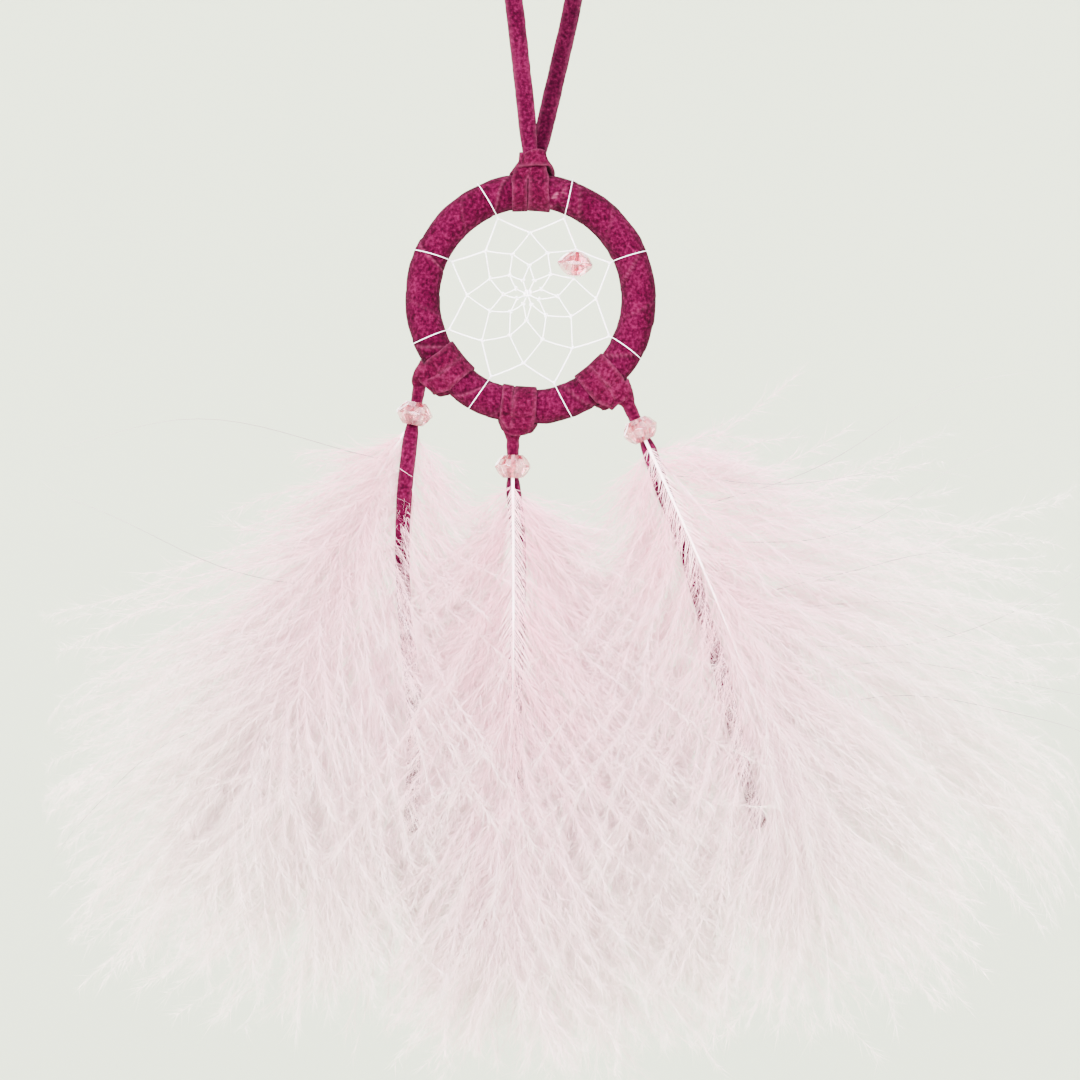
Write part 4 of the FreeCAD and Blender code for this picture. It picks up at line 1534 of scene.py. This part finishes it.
@dataclass
class PlumePiece:
    """Builds the shaft and the down of one plume."""

    side: str
    place: Place
    plan: Plume
    mouth: Vector            # where the shaft leaves the bead
    stub: Vector             # its end inside the bead
    lace: np.ndarray         # the tail's middle line, from the top down
    bare: float = 0.0        # length of the lace that no down covers
    start: float = 1.6

    def shaft_line(self, count: int = 60) -> np.ndarray:
        """The shaft's middle line, from the bead's mouth down.

        Args:
            count: how many points to make.

        Returns:
            The points, in millimetres.
        """
        lean = math.radians(self.plan.lean)
        drift = self.plan.drift
        down = Vector((-math.sin(lean), drift, -math.cos(lean))).normalized()
        side = Vector((math.cos(lean), 0, -math.sin(lean)))
        share = np.linspace(0, 1, count)[:, None]
        bow = np.sin(math.pi * share) * self.plan.bow
        return (np.array(self.mouth) + np.array(down) * share * QUILL_LENGTH
                + np.array(side) * bow)

    def shaft(self, finish: bpy.types.Material) -> bpy.types.Object:
        """Models the shaft from a cone, cut into lengths and bent along its line.

        Args:
            finish: its horn.

        Returns:
            The shaft.
        """
        line = np.vstack([np.array(self.stub)[None], self.shaft_line()])
        deselect()
        bpy.ops.mesh.primitive_cone_add(
            vertices=10, radius1=0.40 * MM, radius2=0.07 * MM, depth=1.0,
            location=(0, 0, 0.5), end_fill_type="NGON")
        bpy.ops.object.transform_apply(location=True)
        bpy.ops.object.mode_set(mode="EDIT")
        for step in range(1, SHAFT_CUTS):
            bpy.ops.mesh.select_all(action="SELECT")
            bpy.ops.mesh.bisect(plane_co=(0, 0, step / SHAFT_CUTS), plane_no=(0, 0, 1))
        bpy.ops.object.mode_set(mode="OBJECT")
        obj = bpy.context.view_layer.objects.active
        middle, _ = spaced(line, SHAFT_POINTS + 1)
        ways = unit(np.gradient(middle, axis=0))
        for vertex in obj.data.vertices:
            at = min(SHAFT_POINTS, max(0, round(vertex.co.z * SHAFT_POINTS)))
            way = Vector(ways[at])
            across = way.cross(FRONT).normalized()
            front = across.cross(way)
            place = Vector(middle[at]) * MM + across * vertex.co.x + front * vertex.co.y
            vertex.co = place
        obj = settle(f"{self.side}_{self.place.value}_shaft", 50)
        dress(obj, finish)
        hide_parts(f"{self.side}_{self.place.value}_quill")
        return obj

    def falls(self, roots: np.ndarray, first: np.ndarray, length: np.ndarray,
              rings: int, droop: np.ndarray, curl: np.ndarray, wave: np.ndarray
              ) -> np.ndarray:
        """Lets barbs grow from their roots, turning down under their weight.

        Args:
            roots: hairs by 3.
            first: first direction of each.
            length: of each.
            rings: points on each.
            droop: how far each turns down.
            curl: a constant turn of each, by direction.
            wave: phase of each one's waviness.

        Returns:
            Paths, hairs by rings by 3.
        """
        way, place = unit(first), roots.copy()
        paths = [place.copy()]
        step = length[:, None] / (rings - 1)
        down = np.array([0.0, 0.0, -1.0])
        for ring in range(1, rings):
            share = ring / (rings - 1)
            sway = 0.07 * np.sin(wave[:, None] + 7.0 * share + np.array([0.0, 2.0, 4.0]))
            way = unit(way + down * (droop / rings)[:, None]
                       + curl / rings + sway)
            place = place + way * step
            paths.append(place.copy())
        return np.stack(paths, 1)

    def roots(self, line: np.ndarray, s: np.ndarray
              ) -> tuple[np.ndarray, np.ndarray, np.ndarray]:
        """Places along the shaft, with the shaft's direction and its right hand.

        Args:
            line: even points down the shaft.
            s: distances from the bead, in millimetres.

        Returns:
            Places, directions and right-hand directions.
        """
        last = len(line) - 1
        index = np.clip((s / QUILL_LENGTH * last).astype(int), 0, last)
        ways = unit(np.gradient(line, axis=0))[index]
        across = unit(np.cross(ways, np.tile([0.0, 1.0, 0.0], (len(s), 1))))
        return line[index], ways, np.where(across[:, :1] < 0, -across, across)

    def dye(self, places: np.ndarray) -> np.ndarray:
        """How strongly down is dyed by its distance from the bead."""
        away = np.linalg.norm((places - np.array(self.mouth)) * [1.4, 0.6, 0.8], axis=1)
        return self.plan.pink * (0.16 + 0.84 * np.exp(-((away / 72.0) ** 2)))

    def clear(self, rng: np.random.Generator, paths: np.ndarray) -> np.ndarray:
        """Tells which hairs stay, because down parts over the lace.

        Args:
            rng: the plume's random numbers.
            paths: hairs by rings by 3.

        Returns:
            One flag per hair.
        """
        order = np.argsort(self.lace[:, 2])
        level = self.lace[order, 2]
        middle = np.interp(paths[:, :, 2], level, self.lace[order, 0])
        front = np.interp(paths[:, :, 2], level, self.lace[order, 1])
        over = (np.abs(paths[:, :, 0] - middle) < 2.0) & (paths[:, :, 1] < front + 1.0)
        over &= paths[:, :, 2] > level[0]
        depth = level[-1] - paths[:, :, 2]
        bare = (over & (depth < self.bare)).any(1)
        share = np.where(bare, 0.02, self.plan.veil)
        return ~over.any(1) | (rng.random(len(paths)) < share)

    def down(self, finish: bpy.types.Material) -> bpy.types.Object:
        """Grows the plume's barbs and the fine hairs on them.

        Args:
            finish: its dyed down.

        Returns:
            The down, one piece.
        """
        plan = self.plan
        rng = np.random.default_rng(plan.seed)
        line, _ = spaced(self.shaft_line(), 400)
        cloud = HairCloud()
        count = plan.barbs
        share = np.sort(rng.random(count))
        s = self.start + share * (QUILL_LENGTH - self.start)
        roots, ways, across = self.roots(line, s)
        side = np.where(np.arange(count) % 2 == 0, -1.0, 1.0)
        left = side < 0
        tufts = np.zeros(count)
        for wave, swing in ((11.0, 0.13), (5.3, 0.10), (2.9, 0.07)):
            tufts += swing * np.sin(2 * math.pi * s / wave + side * wave + plan.seed)
        fan = np.radians(np.where(left, *plan.fan)) * (1.12 - 0.62 * share)
        fan += tufts + 0.10 * rng.normal(size=count)
        swell = np.clip(FIRST_SHARE + FILL_RATE * share, 0, 1)
        swell = swell * (1 - TIP_TAPER * share ** 2.2)
        length = np.where(left, *plan.reach) * swell
        length = np.clip(length * (1 + 0.17 * rng.normal(size=count)), 6, 92)
        off = rng.normal(size=count) * 0.30 + 1.6 * np.roll(tufts, 3)
        ahead = np.where(left, *plan.ahead) * np.clip(s / 12, 0, 1)
        over = (s > plan.cover) & (rng.random(count) < 0.3)
        fan = np.where(over, fan * 0.3, fan)
        ahead = np.where(over, 0.34, ahead)
        length = np.where(over, np.clip(length * 0.6, 8, 30), length)
        first = (ways * np.cos(fan)[:, None]
                 + across * (side * np.sin(fan) * np.cos(off))[:, None])
        first[:, 1] += np.sin(fan) * np.sin(off) - ahead
        turn = np.where(left, *plan.curl) * rng.uniform(0.4, 1.5, count)
        curl = (across * (side * turn)[:, None] + 0.3 * rng.normal(size=(count, 3))
                + np.array([0.0, 0.55, 0.0]) * ahead[:, None])
        paths = self.falls(roots, first, length, 9,
                           plan.droop * rng.uniform(0.6, 1.4, count), curl,
                           rng.random(count) * 6.3)
        stay = self.clear(rng, paths)
        paths, length = paths[stay], length[stay]
        dye = np.clip(self.dye(paths[:, 3]) + 0.05 * rng.normal(size=len(paths)), 0.06, 1)
        thin = np.linspace(1, 0.2, 9)[None]
        cloud.add(paths, np.full((len(paths), 1), 0.05) * thin, dye)
        self.hairs(rng, cloud, paths, length)
        if self.place is Place.FRONT:
            self.near_barbs(rng, cloud, line)
        if plan.wisps:
            self.wisps(rng, cloud, line)
        obj = cloud.build(f"{self.side}_{self.place.value}_plume")
        dress(obj, finish)
        if self.place is not Place.LOOSE:
            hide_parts(f"{self.side}_{self.place.value}_down")
        return obj

    def hairs(self, rng: np.random.Generator, cloud: HairCloud, paths: np.ndarray,
              length: np.ndarray) -> None:
        """Grows the fine hairs that make the barbs fluffy, each one thin spike.

        Args:
            rng: the plume's random numbers.
            cloud: where they are added.
            paths: the barbs.
            length: their lengths.
        """
        barbs, rings, _ = paths.shape
        total = self.plan.barbs * self.plan.hairs
        weight = length ** 0.9
        owner = rng.choice(barbs, total, p=weight / weight.sum())
        at = 0.03 + 0.96 * rng.random(total) ** 0.75
        spot = at * (rings - 1)
        low = np.minimum(spot.astype(int), rings - 2)
        share = (spot - low)[:, None]
        roots = paths[owner, low] * (1 - share) + paths[owner, low + 1] * share
        way = unit(paths[owner, low + 1] - paths[owner, low])
        stray = rng.normal(size=(total, 3))
        stray = unit(stray - (stray * way).sum(1, keepdims=True) * way)
        angle = np.radians(8 + 50 * rng.random(total) ** 1.25)
        first = way * np.cos(angle)[:, None] + stray * np.sin(angle)[:, None]
        first[:, 2] -= 0.06
        size = rng.uniform(3.2, 10.5, total) * (1.12 - 0.45 * at)
        made = np.stack([roots, roots + first * size[:, None]], 1)
        stay = self.clear(rng, made)
        made, at = made[stay], at[stay]
        radius = np.array([[0.042, 0.0]]) * rng.uniform(0.7, 1.3, (len(made), 1))
        dye = self.dye(made.mean(1)) * (1.05 - 0.35 * at)
        dye = np.clip(dye + 0.05 * rng.normal(size=len(made)), 0.06, 1)
        cloud.add(made, radius, dye)

    def near_barbs(self, rng: np.random.Generator, cloud: HairCloud, line: np.ndarray
                   ) -> None:
        """Adds the short, ordered barbs on both sides of the upper shaft.

        Args:
            rng: the plume's random numbers.
            cloud: where they are added.
            line: points down the shaft.
        """
        for side in (-1.0, 1.0):
            s = np.arange(2.2, min(56.0, self.plan.cover + 6.0), 0.66)
            count = len(s)
            roots, ways, across = self.roots(line, s)
            fan = np.radians(36 + 2.5 * rng.normal(size=count))
            first = (ways * np.cos(fan)[:, None]
                     + across * (side * np.sin(fan))[:, None])
            first[:, 1] += -0.06 + 0.03 * rng.normal(size=count)
            length = np.clip(2.6 + 0.20 * s, 0, 11) * (1 + 0.10 * rng.normal(size=count))
            paths = self.falls(roots, first, length, 5, np.full(count, 0.12),
                               -0.18 * side * across, rng.random(count) * 6.3)
            radius = np.array([0.11, 0.10, 0.085, 0.06, 0.0])[None] * np.ones((count, 1))
            cloud.add(paths, radius, np.clip(0.42 + 0.1 * rng.normal(size=count), 0, 1))

    def wisps(self, rng: np.random.Generator, cloud: HairCloud, line: np.ndarray) -> None:
        """Adds long, curled barbs that stray outwards from the down, dark grey as painted
        shade.

        Args:
            rng: the plume's random numbers.
            cloud: where they are added.
            line: points down the shaft.
        """
        count = self.plan.wisps
        outer = -1.0 if self.plan.lean > 0 else 1.0
        s = np.linspace(12.0, 74.0, count) + rng.uniform(-3, 3, count)
        roots, ways, across = self.roots(line, s)
        fan = np.radians(rng.uniform(46, 72, count))
        first = (ways * np.cos(fan)[:, None] + across * (outer * np.sin(fan))[:, None])
        first[:, 1] += rng.uniform(-0.25, 0.05, count)
        turn = rng.uniform(-0.5, 0.75, count)[:, None]
        curl = across * outer * turn + np.array([0.0, 0.0, 1.0]) * turn * 0.8
        paths = self.falls(roots, first, rng.uniform(66, 90, count), 18,
                           rng.uniform(0.2, 0.9, count), curl, rng.random(count) * 6.3)
        thin = np.linspace(1, 0.35, 18)[None]
        # a dye of zero gives the chart's dark grey: painted shade on the wisps
        cloud.add(paths, np.full((count, 1), 0.13) * thin, np.zeros(count))


# ------------------------------------------------------------------ pendants


@dataclass
class Pendant:
    """One hanging pendant: hitch, neck, bead with its glue and lace, tail and plumes."""

    side: str
    hitch: float                       # its hitch on the hoop, degrees
    bar: float                         # where its eye points
    bar_length: float
    bead_lean: float
    tail: Sequence[tuple[float, float]]
    tail_length: float
    front: Plume
    back: Plume
    loose: Plume                       # down pulled from its shaft, between the two
    bands: Sequence[tuple[float, float, float]] = ((-2.1, 4.1, 0.3), (2.0, 4.3, -0.3))
    bead_turn: float = 0.0
    bare: float = 0.0                  # length of the tail that no down covers

    @property
    def up(self) -> Vector:
        """Direction of the bead's hole, upwards."""
        return leaned(self.bead_lean) @ Vector((0, 0, 1))

    @property
    def wide(self) -> Vector:
        """Direction of the laces' width at the bead."""
        return leaned(self.bead_lean) @ Vector((1, 0, 0))

    @property
    def eye(self) -> Vector:
        """Middle of the hitch's eye, where the neck starts."""
        return on_hoop(HOOP_RADIUS + SLEEVE_RADIUS + self.bar_length, self.bar)

    @property
    def neck_top(self) -> Vector:
        """Where the neck turns on the hitch."""
        return self.eye - self.up * (EYE_RADIUS + JOINT_GAP + LACE_THICKNESS / 2)

    @property
    def neck_low(self) -> Vector:
        """Where the bead turns on the neck."""
        return self.neck_top - self.up * NECK_SPAN

    @property
    def bead_middle(self) -> Vector:
        """Middle of the bead."""
        return self.neck_low - self.up * (NECK_WIDTH / 2 + JOINT_GAP + BEAD_HEIGHT / 2)

    @property
    def tail_top(self) -> Vector:
        """Where the tail turns below the bead."""
        return self.bead_middle - self.up * (BEAD_HEIGHT / 2 + JOINT_GAP + TAIL_WIDTH / 2)

    def build(self, finishes: dict[str, bpy.types.Material]) -> None:
        """Builds every piece of the pendant.

        Args:
            finishes: the materials by name.
        """
        suede = finishes["band"]
        self.build_hitch(suede)
        self.build_neck(finishes["neck"])
        body = f"{self.side}_pendant"
        bead = CutBead(f"{self.side}_cut_bead", self.bead_middle, self.up,
                       turn=self.bead_turn).build(finishes["bead"], f"{self.side}_bead")
        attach(bead, body)
        inside = [self.bead_middle + self.up * z for z in (2.4, 1.2, 0.0, -1.2, -2.4)]
        rows = eased([tuple(p) for p in inside], 30)
        lace = Sweep(f"{self.side}_lace_in_bead", rows, self.wide, 2.4, 0.9, 0.2, 0.03,
                     2.0).build()
        dress(lace, finishes["neck"])
        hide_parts(f"{self.side}_bead_lace")
        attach(lace, body)
        dress(bpy.data.objects[f"{self.side}_glue"], finishes["glue"])
        lace = self.build_tail(finishes["tail"])
        for place, plan in ((Place.FRONT, self.front), (Place.BACK, self.back),
                            (Place.LOOSE, self.loose)):
            turn = math.radians(plan.around)
            ring = Vector((QUILL_RING * math.cos(turn), QUILL_RING * math.sin(turn), 0))
            low = ring - Vector((0, 0, BEAD_HEIGHT / 2))
            high = ring + Vector((0, 0, BEAD_HEIGHT * 0.35))
            stand = leaned(self.bead_lean)
            piece = PlumePiece(self.side, place, plan, self.bead_middle + stand @ low,
                               self.bead_middle + stand @ high, lace, self.bare)
            if place is not Place.LOOSE:
                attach(piece.shaft(finishes["quill"]), body)
            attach(piece.down(finishes["down"]), body)
            log.info("%s %s plume grown", self.side, place.value)

    def build_hitch(self, finish: bpy.types.Material) -> None:
        """Builds the lace hitched round the hoop, down to its eye.

        Args:
            finish: its suede.
        """
        out = SLEEVE_RADIUS
        eye = self.eye - on_hoop(HOOP_RADIUS, self.hitch)
        turn = math.radians(self.hitch)
        outwards = Vector((math.cos(turn), 0, math.sin(turn)))
        along = Vector((math.sin(turn), 0, -math.cos(turn)))
        eye_out, eye_along = eye.dot(outwards), eye.dot(along)
        half = max(abs(band[0]) + band[1] / 2 for band in self.bands)
        mid = out - 0.1
        bight = [
            (-half * 0.86, -2.9, 3.2, 0.2, 2.4), (-half * 0.92, -0.8, mid - 0.5, 0.5, 2.4),
            (-half * 0.6 + eye_along * 0.4, 1.5, mid + 0.1, 0.55, 2.5),
            (eye_along * 0.7, 2.3, mid + 0.5, 0.0, 2.7),
            (half * 0.6 + eye_along * 0.4, 1.5, mid + 0.1, -0.55, 2.5),
            (half * 0.92, -0.8, mid - 0.5, -0.5, 2.4), (half * 0.86, -2.9, 3.2, -0.2, 2.4)]
        hitch = CowHitch(f"{self.side}_hitch_lace", self.hitch, self.bands, bight,
                         lead=((0.3, eye_out - 0.4), (1.3, mid + 0.6), (2.5, mid - 0.1)),
                         seed=len(self.side) * 2.0)
        obj = hitch.build()
        knot_line = eased([
            tuple(self.eye - outwards * 3.0 + FRONT * 2.5),
            tuple(self.eye - outwards * 1.4 + FRONT * 2.0),
            tuple(self.eye - self.up * 0.2 + FRONT * 0.8),
            tuple(self.eye - self.up * (EYE_RADIUS + 0.05))], 40)
        eye_piece = Sweep("eye", knot_line, self.wide, np.linspace(6.6, 2.7, 40),
                          np.linspace(1.2, 1.7, 40), 0.4, 0.07, 3.0).build()
        obj = joined(hitch.name, [obj, eye_piece])
        dress(obj, finish)
        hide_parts(f"{self.side}_hitch")
        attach(obj, "hoop")

    def build_neck(self, finish: bpy.types.Material) -> None:
        """Builds the neck lace in two lengths, one across each of its joints.

        Args:
            finish: its suede.
        """
        up = self.up
        upper = [self.eye - up * 0.2, self.eye - up * 1.2, self.neck_top,
                 self.neck_low + up * 0.2, self.neck_low - up * 0.35]
        lower = [self.neck_top + up * 0.05, self.neck_low + up * 0.2,
                 self.neck_low - up * 0.9, self.bead_middle + up * 2.9,
                 self.bead_middle + up * 1.9]
        for name, points, size in (("upper", upper, 2.75), ("lower", lower, 2.6)):
            rows = eased([tuple(p) for p in points], 60)
            obj = Sweep(f"{self.side}_neck_{name}", rows, self.wide, size,
                        1.45 if name == "upper" else 1.35, 0.4, 0.05,
                        len(name)).build()
            dress(obj, finish)
            if name == "upper":
                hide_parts(f"{self.side}_neck_lace")
                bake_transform(obj)
            else:
                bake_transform(obj)

    def build_tail(self, finish: bpy.types.Material) -> np.ndarray:
        """Args:
            finish: its suede.

        Returns:
            Its middle line, from the top down.
        """
        up = self.up
        route = [self.bead_middle - up * 1.9, self.tail_top]
        route += [self.bead_middle + Vector((x, 0, z)) for x, z in self.tail]
        line, at = spaced(smooth_line(route), 300)
        share = np.linspace(0, 1, 300)
        across = np.stack([np.ones(300), 0.35 * np.sin(5 * share + self.hitch) * share,
                           np.zeros(300)], 1)
        width = TAIL_WIDTH - 0.75 * np.exp(-((at / 1.8) ** 2))
        width = width * (1 + 0.05 * np.sin(13 * share))
        obj = Sweep(f"{self.side}_tail", line, across, width,
                    np.where(at < 3, 0.95, 1.05), 0.3, 0.07, len(self.side) + 8).build()
        dress(obj, finish)
        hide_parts(f"{self.side}_tail_lace")
        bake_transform(obj)
        return line


# ------------------------------------------------------------------ studio


@dataclass
class Studio:
    """A pale paper bowl, soft lights and the camera."""

    floor: float = -0.62           # metres
    radius: float = 2.9
    sweep: float = 1.1
    wall: float = 3.4
    view_middle: tuple[float, float] = (2.04, -162.4)
    view_width: float = 234.8
    distance: float = 900.0
    lamps: Sequence[tuple[str, tuple[float, float, float], float, float]] = (
        ("key_softbox", (-0.75, -1.15, 0.75), 0.8, 120.0),
        ("front_softbox", (0.1, -1.55, 0.2), 0.9, 90.0),
        ("fill_softbox", (1.2, -1.3, 0.3), 1.2, 40.0),
        ("back_softbox", (-0.5, 1.5, 0.45), 0.9, 32.0),
        ("wall_wash", (0.0, 0.4, 2.4), 2.6, 110.0))
    lamp_colour: str = "#FCEEFF"
    lamp_aim: tuple[float, float, float] = (0.0, 0.0, -0.14)
    air_colour: str = "#F6F2F6"
    air_strength: float = 1.5
    sensor: float = 36.0

    def build(self, paper: bpy.types.Material) -> None:
        """Builds the bowl, the lights, the world and the camera.

        Args:
            paper: the bowl's finish.
        """
        deselect()
        bpy.ops.mesh.primitive_plane_add(size=1)
        bpy.ops.object.mode_set(mode="EDIT")
        bpy.ops.mesh.select_all(action="SELECT")
        bpy.ops.mesh.merge(type="CENTER")
        bpy.ops.transform.translate(value=(0, 0, self.floor))
        turns = [math.radians(90 * k / 12) for k in range(13)]
        profile = [(0.0, self.floor), (self.radius * 0.5, self.floor)]
        profile += [(self.radius - self.sweep + self.sweep * math.sin(t),
                     self.floor + self.sweep - self.sweep * math.cos(t)) for t in turns]
        profile += [(self.radius, self.wall)]
        for (x, z), (next_x, next_z) in zip(profile, profile[1:]):
            bpy.ops.mesh.extrude_vertices_move(TRANSFORM_OT_translate={
                "value": (next_x - x, 0, next_z - z)})
        bpy.ops.mesh.select_all(action="SELECT")
        bpy.ops.mesh.spin(steps=96, angle=2 * math.pi, center=(0, 0, 0), axis=(0, 0, 1))
        bpy.ops.object.mode_set(mode="OBJECT")
        bowl = settle("studio_bowl", 60)
        bpy.ops.object.mode_set(mode="EDIT")
        bpy.ops.mesh.select_all(action="SELECT")
        bpy.ops.mesh.flip_normals()
        bpy.ops.object.mode_set(mode="OBJECT")
        bowl.data.materials.append(paper)
        for lamp in self.lamps:
            self.light(*lamp)
        world = bpy.data.worlds.new("studio_air")
        world.use_nodes = True
        air = world.node_tree.nodes["Background"].inputs
        air[0].default_value = linear(self.air_colour)
        air[1].default_value = self.air_strength
        bpy.context.scene.world = world
        self.camera()

    def light(self, name: str, place: tuple[float, float, float], size: float,
              power: float) -> None:
        """Adds one softbox that faces the hoop.

        Args:
            name: its name.
            place: where it stands, in metres.
            size: its side.
            power: in watts.
        """
        way = Vector(self.lamp_aim) - Vector(place)
        bpy.ops.object.light_add(
            type="AREA", location=place, rotation=way.to_track_quat("-Z", "Y").to_euler())
        lamp = bpy.context.object
        lamp.name = name
        lamp.data.size = size
        lamp.data.energy = power
        lamp.visible_camera = False
        lamp.data.color = linear(self.lamp_colour)[:3]

    def camera(self) -> None:
        """Adds the camera, level and square to the hoop's plane."""
        x, z = self.view_middle
        bpy.ops.object.camera_add(
            location=(x * MM, -self.distance * MM, z * MM), rotation=(math.pi / 2, 0, 0))
        camera = bpy.context.object
        camera.name = "view_from_the_front"
        camera.data.sensor_width = self.sensor
        camera.data.lens = self.sensor * self.distance / self.view_width
        camera.data.clip_start = 0.01
        camera.data.clip_end = 100.0
        bpy.context.scene.camera = camera


# ------------------------------------------------------------------ all together


def pendants() -> list[Pendant]:
    """The three pendants, left to right."""
    return [
        Pendant(
            "left", -140.2, -143.7, 1.35, 10.0,
            ((-1.9, -13.5), (-2.7, -25.0), (-2.6, -38.0), (-1.2, -52.0), (0.1, -64.0),
             (-0.2, -77.0), (-0.9, -91.0)), 86.9,
            Plume(123.0, 27.0, 0.04, reach=(64.0, 52.0), fan=(28.0, 42.0),
                  curl=(0.5, 0.2), ahead=(0.0, 0.42), bow=-3.0, pink=0.8, wisps=3,
                  cover=1.0, seed=3),
            Plume(57.0, 3.0, 0.14, reach=(60.0, 50.0), fan=(42.0, 42.0),
                  curl=(0.45, 0.3), pink=0.78, seed=4),
            Plume(90.0, 13.0, 0.02, reach=(58.0, 52.0), fan=(38.0, 40.0),
                  curl=(0.6, 0.3), ahead=(0.1, 0.3), pink=0.76, veil=0.8, seed=13),
            bare=17.0),
        Pendant(
            "centre", -96.0, -97.6, 0.85, 0.0,
            ((1.1, -13.0), (1.5, -24.5), (1.0, -36.5), (0.3, -49.5), (0.5, -60.5),
             (0.8, -71.0)), 66.7,
            Plume(-90.0, 1.0, -0.0485, reach=(50.0, 50.0), fan=(36.0, 36.0),
                  curl=(0.35, 0.35), bow=0.8, cover=34.0, seed=5),
            Plume(90.0, -4.0, 0.0785, reach=(58.0, 60.0), fan=(42.0, 46.0),
                  curl=(0.45, 0.45), pink=0.85, seed=6),
            Plume(90.0, -14.0, 0.01, reach=(58.0, 56.0), fan=(44.0, 34.0),
                  curl=(0.3, 0.4), pink=0.75, seed=14),
            bands=((-1.1, 5.1, 0.1), (2.6, 2.6, 0.2)), bead_turn=0.2),
        Pendant(
            "right", -49.1, -46.4, 1.65, -25.0,
            ((4.9, -13.0), (10.0, -26.0), (12.9, -37.0), (16.0, -47.5), (19.7, -60.4),
             (22.9, -75.6), (26.2, -86.5)), 86.1,
            Plume(-90.0, -21.0, -0.0785, reach=(54.0, 64.0), fan=(50.0, 58.0),
                  curl=(0.3, 0.15), droop=0.6, bow=2.0, pink=0.9, cover=22.0, seed=7),
            Plume(90.0, -40.0, 0.11, reach=(56.0, 66.0), fan=(46.0, 62.0),
                  curl=(0.2, 0.05), droop=0.7, pink=0.7, wisps=9, seed=8),
            Plume(90.0, -12.0, 0.02, reach=(56.0, 60.0), fan=(46.0, 42.0),
                  curl=(0.35, 0.3), pink=0.8, seed=15),
            bead_turn=0.4),
    ]


def main() -> None:
    """Builds every part of the dream catcher, then its studio."""
    logging.basicConfig(level=logging.INFO, format="%(name)s: %(message)s")
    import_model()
    deselect()
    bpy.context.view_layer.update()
    finishes = {
        "wrap": SuedeFinish("hoop_wrap_suede").build(),
        "band": SuedeFinish("hitch_band_suede", "#1D010C", "#320217", "#480D29").build(),
        "neck": SuedeFinish("neck_suede", "#1D010C", "#320217", "#480D29").build(),
        "strand": SuedeFinish(
            "left_strand_suede", "#1A010B", "#2E0116", "#450C28").build(),
        # the right strand's suede is darker than the left's: painted shade
        "strand_shaded": SuedeFinish(
            "right_strand_suede_painted_shade", "#130007", "#230110", "#36081D").build(),
        "tail": SuedeFinish("tail_suede", "#1D010C", "#330219", "#4A0D2B").build(),
        "thread": ThreadFinish().build(),
        "bead": CrystalFinish().build(),
        "glue": GlueFinish().build(),
        "steel": SteelFinish().build(),
        "quill": QuillFinish().build(),
        "down": DownFinish().build(),
    }
    loop = HangingLoop()
    strands = [loop.strand("left", finishes["strand"]),
               loop.strand("right", finishes["strand_shaded"])]
    knot = loop.knot(finishes["strand"])
    log.info("hanging loop: %s, %s", [s.name for s in strands], knot.name)
    Hoop().build(finishes["wrap"], finishes["steel"])
    log.info("hoop wound")
    top = CowHitch(
        "top_hitch_lace", 90.0, ((-2.35, 3.5, 0.0), (1.75, 4.7, 0.0)),
        ((-3.4, -3.0, 3.2, 0.3, 2.8), (-3.6, -0.9, 4.5, 0.6, 3.1),
         (-1.7, 1.9, 6.2, 0.6, 3.6), (0.3, 2.9, 6.9, 0.2, 3.8),
         (2.2, 3.0, 7.0, -0.08, 3.8), (3.6, 2.0, 6.3, -0.55, 3.6),
         (4.2, -0.9, 4.4, -0.6, 3.1), (3.9, -3.0, 3.2, -0.3, 2.8)),
        lead=((0.75, 8.2), (1.2, 7.2), (2.2, 5.8)), seed=1.0).build()
    dress(top, finishes["band"])
    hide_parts("hanger_hitch")
    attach(top, "top_hitch")
    web = Web()
    web.build(finishes["thread"])
    upper, lower = web.rows[1][1], web.rows[2][1]
    bead = CutBead("cut_web_bead", (upper + lower) / 2, (upper - lower).normalized(),
                   8.2, 5.2, 3.2, 1.0, 8, 0.3).build(finishes["bead"], "web_bead")
    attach(bead, "web_bead")
    log.info("web tied, with its bead")
    for pendant in pendants():
        pendant.build(finishes)
        log.info("%s pendant done", pendant.side)
    Studio().build(PaperFinish().build())


if __name__ == "__main__":
    main()
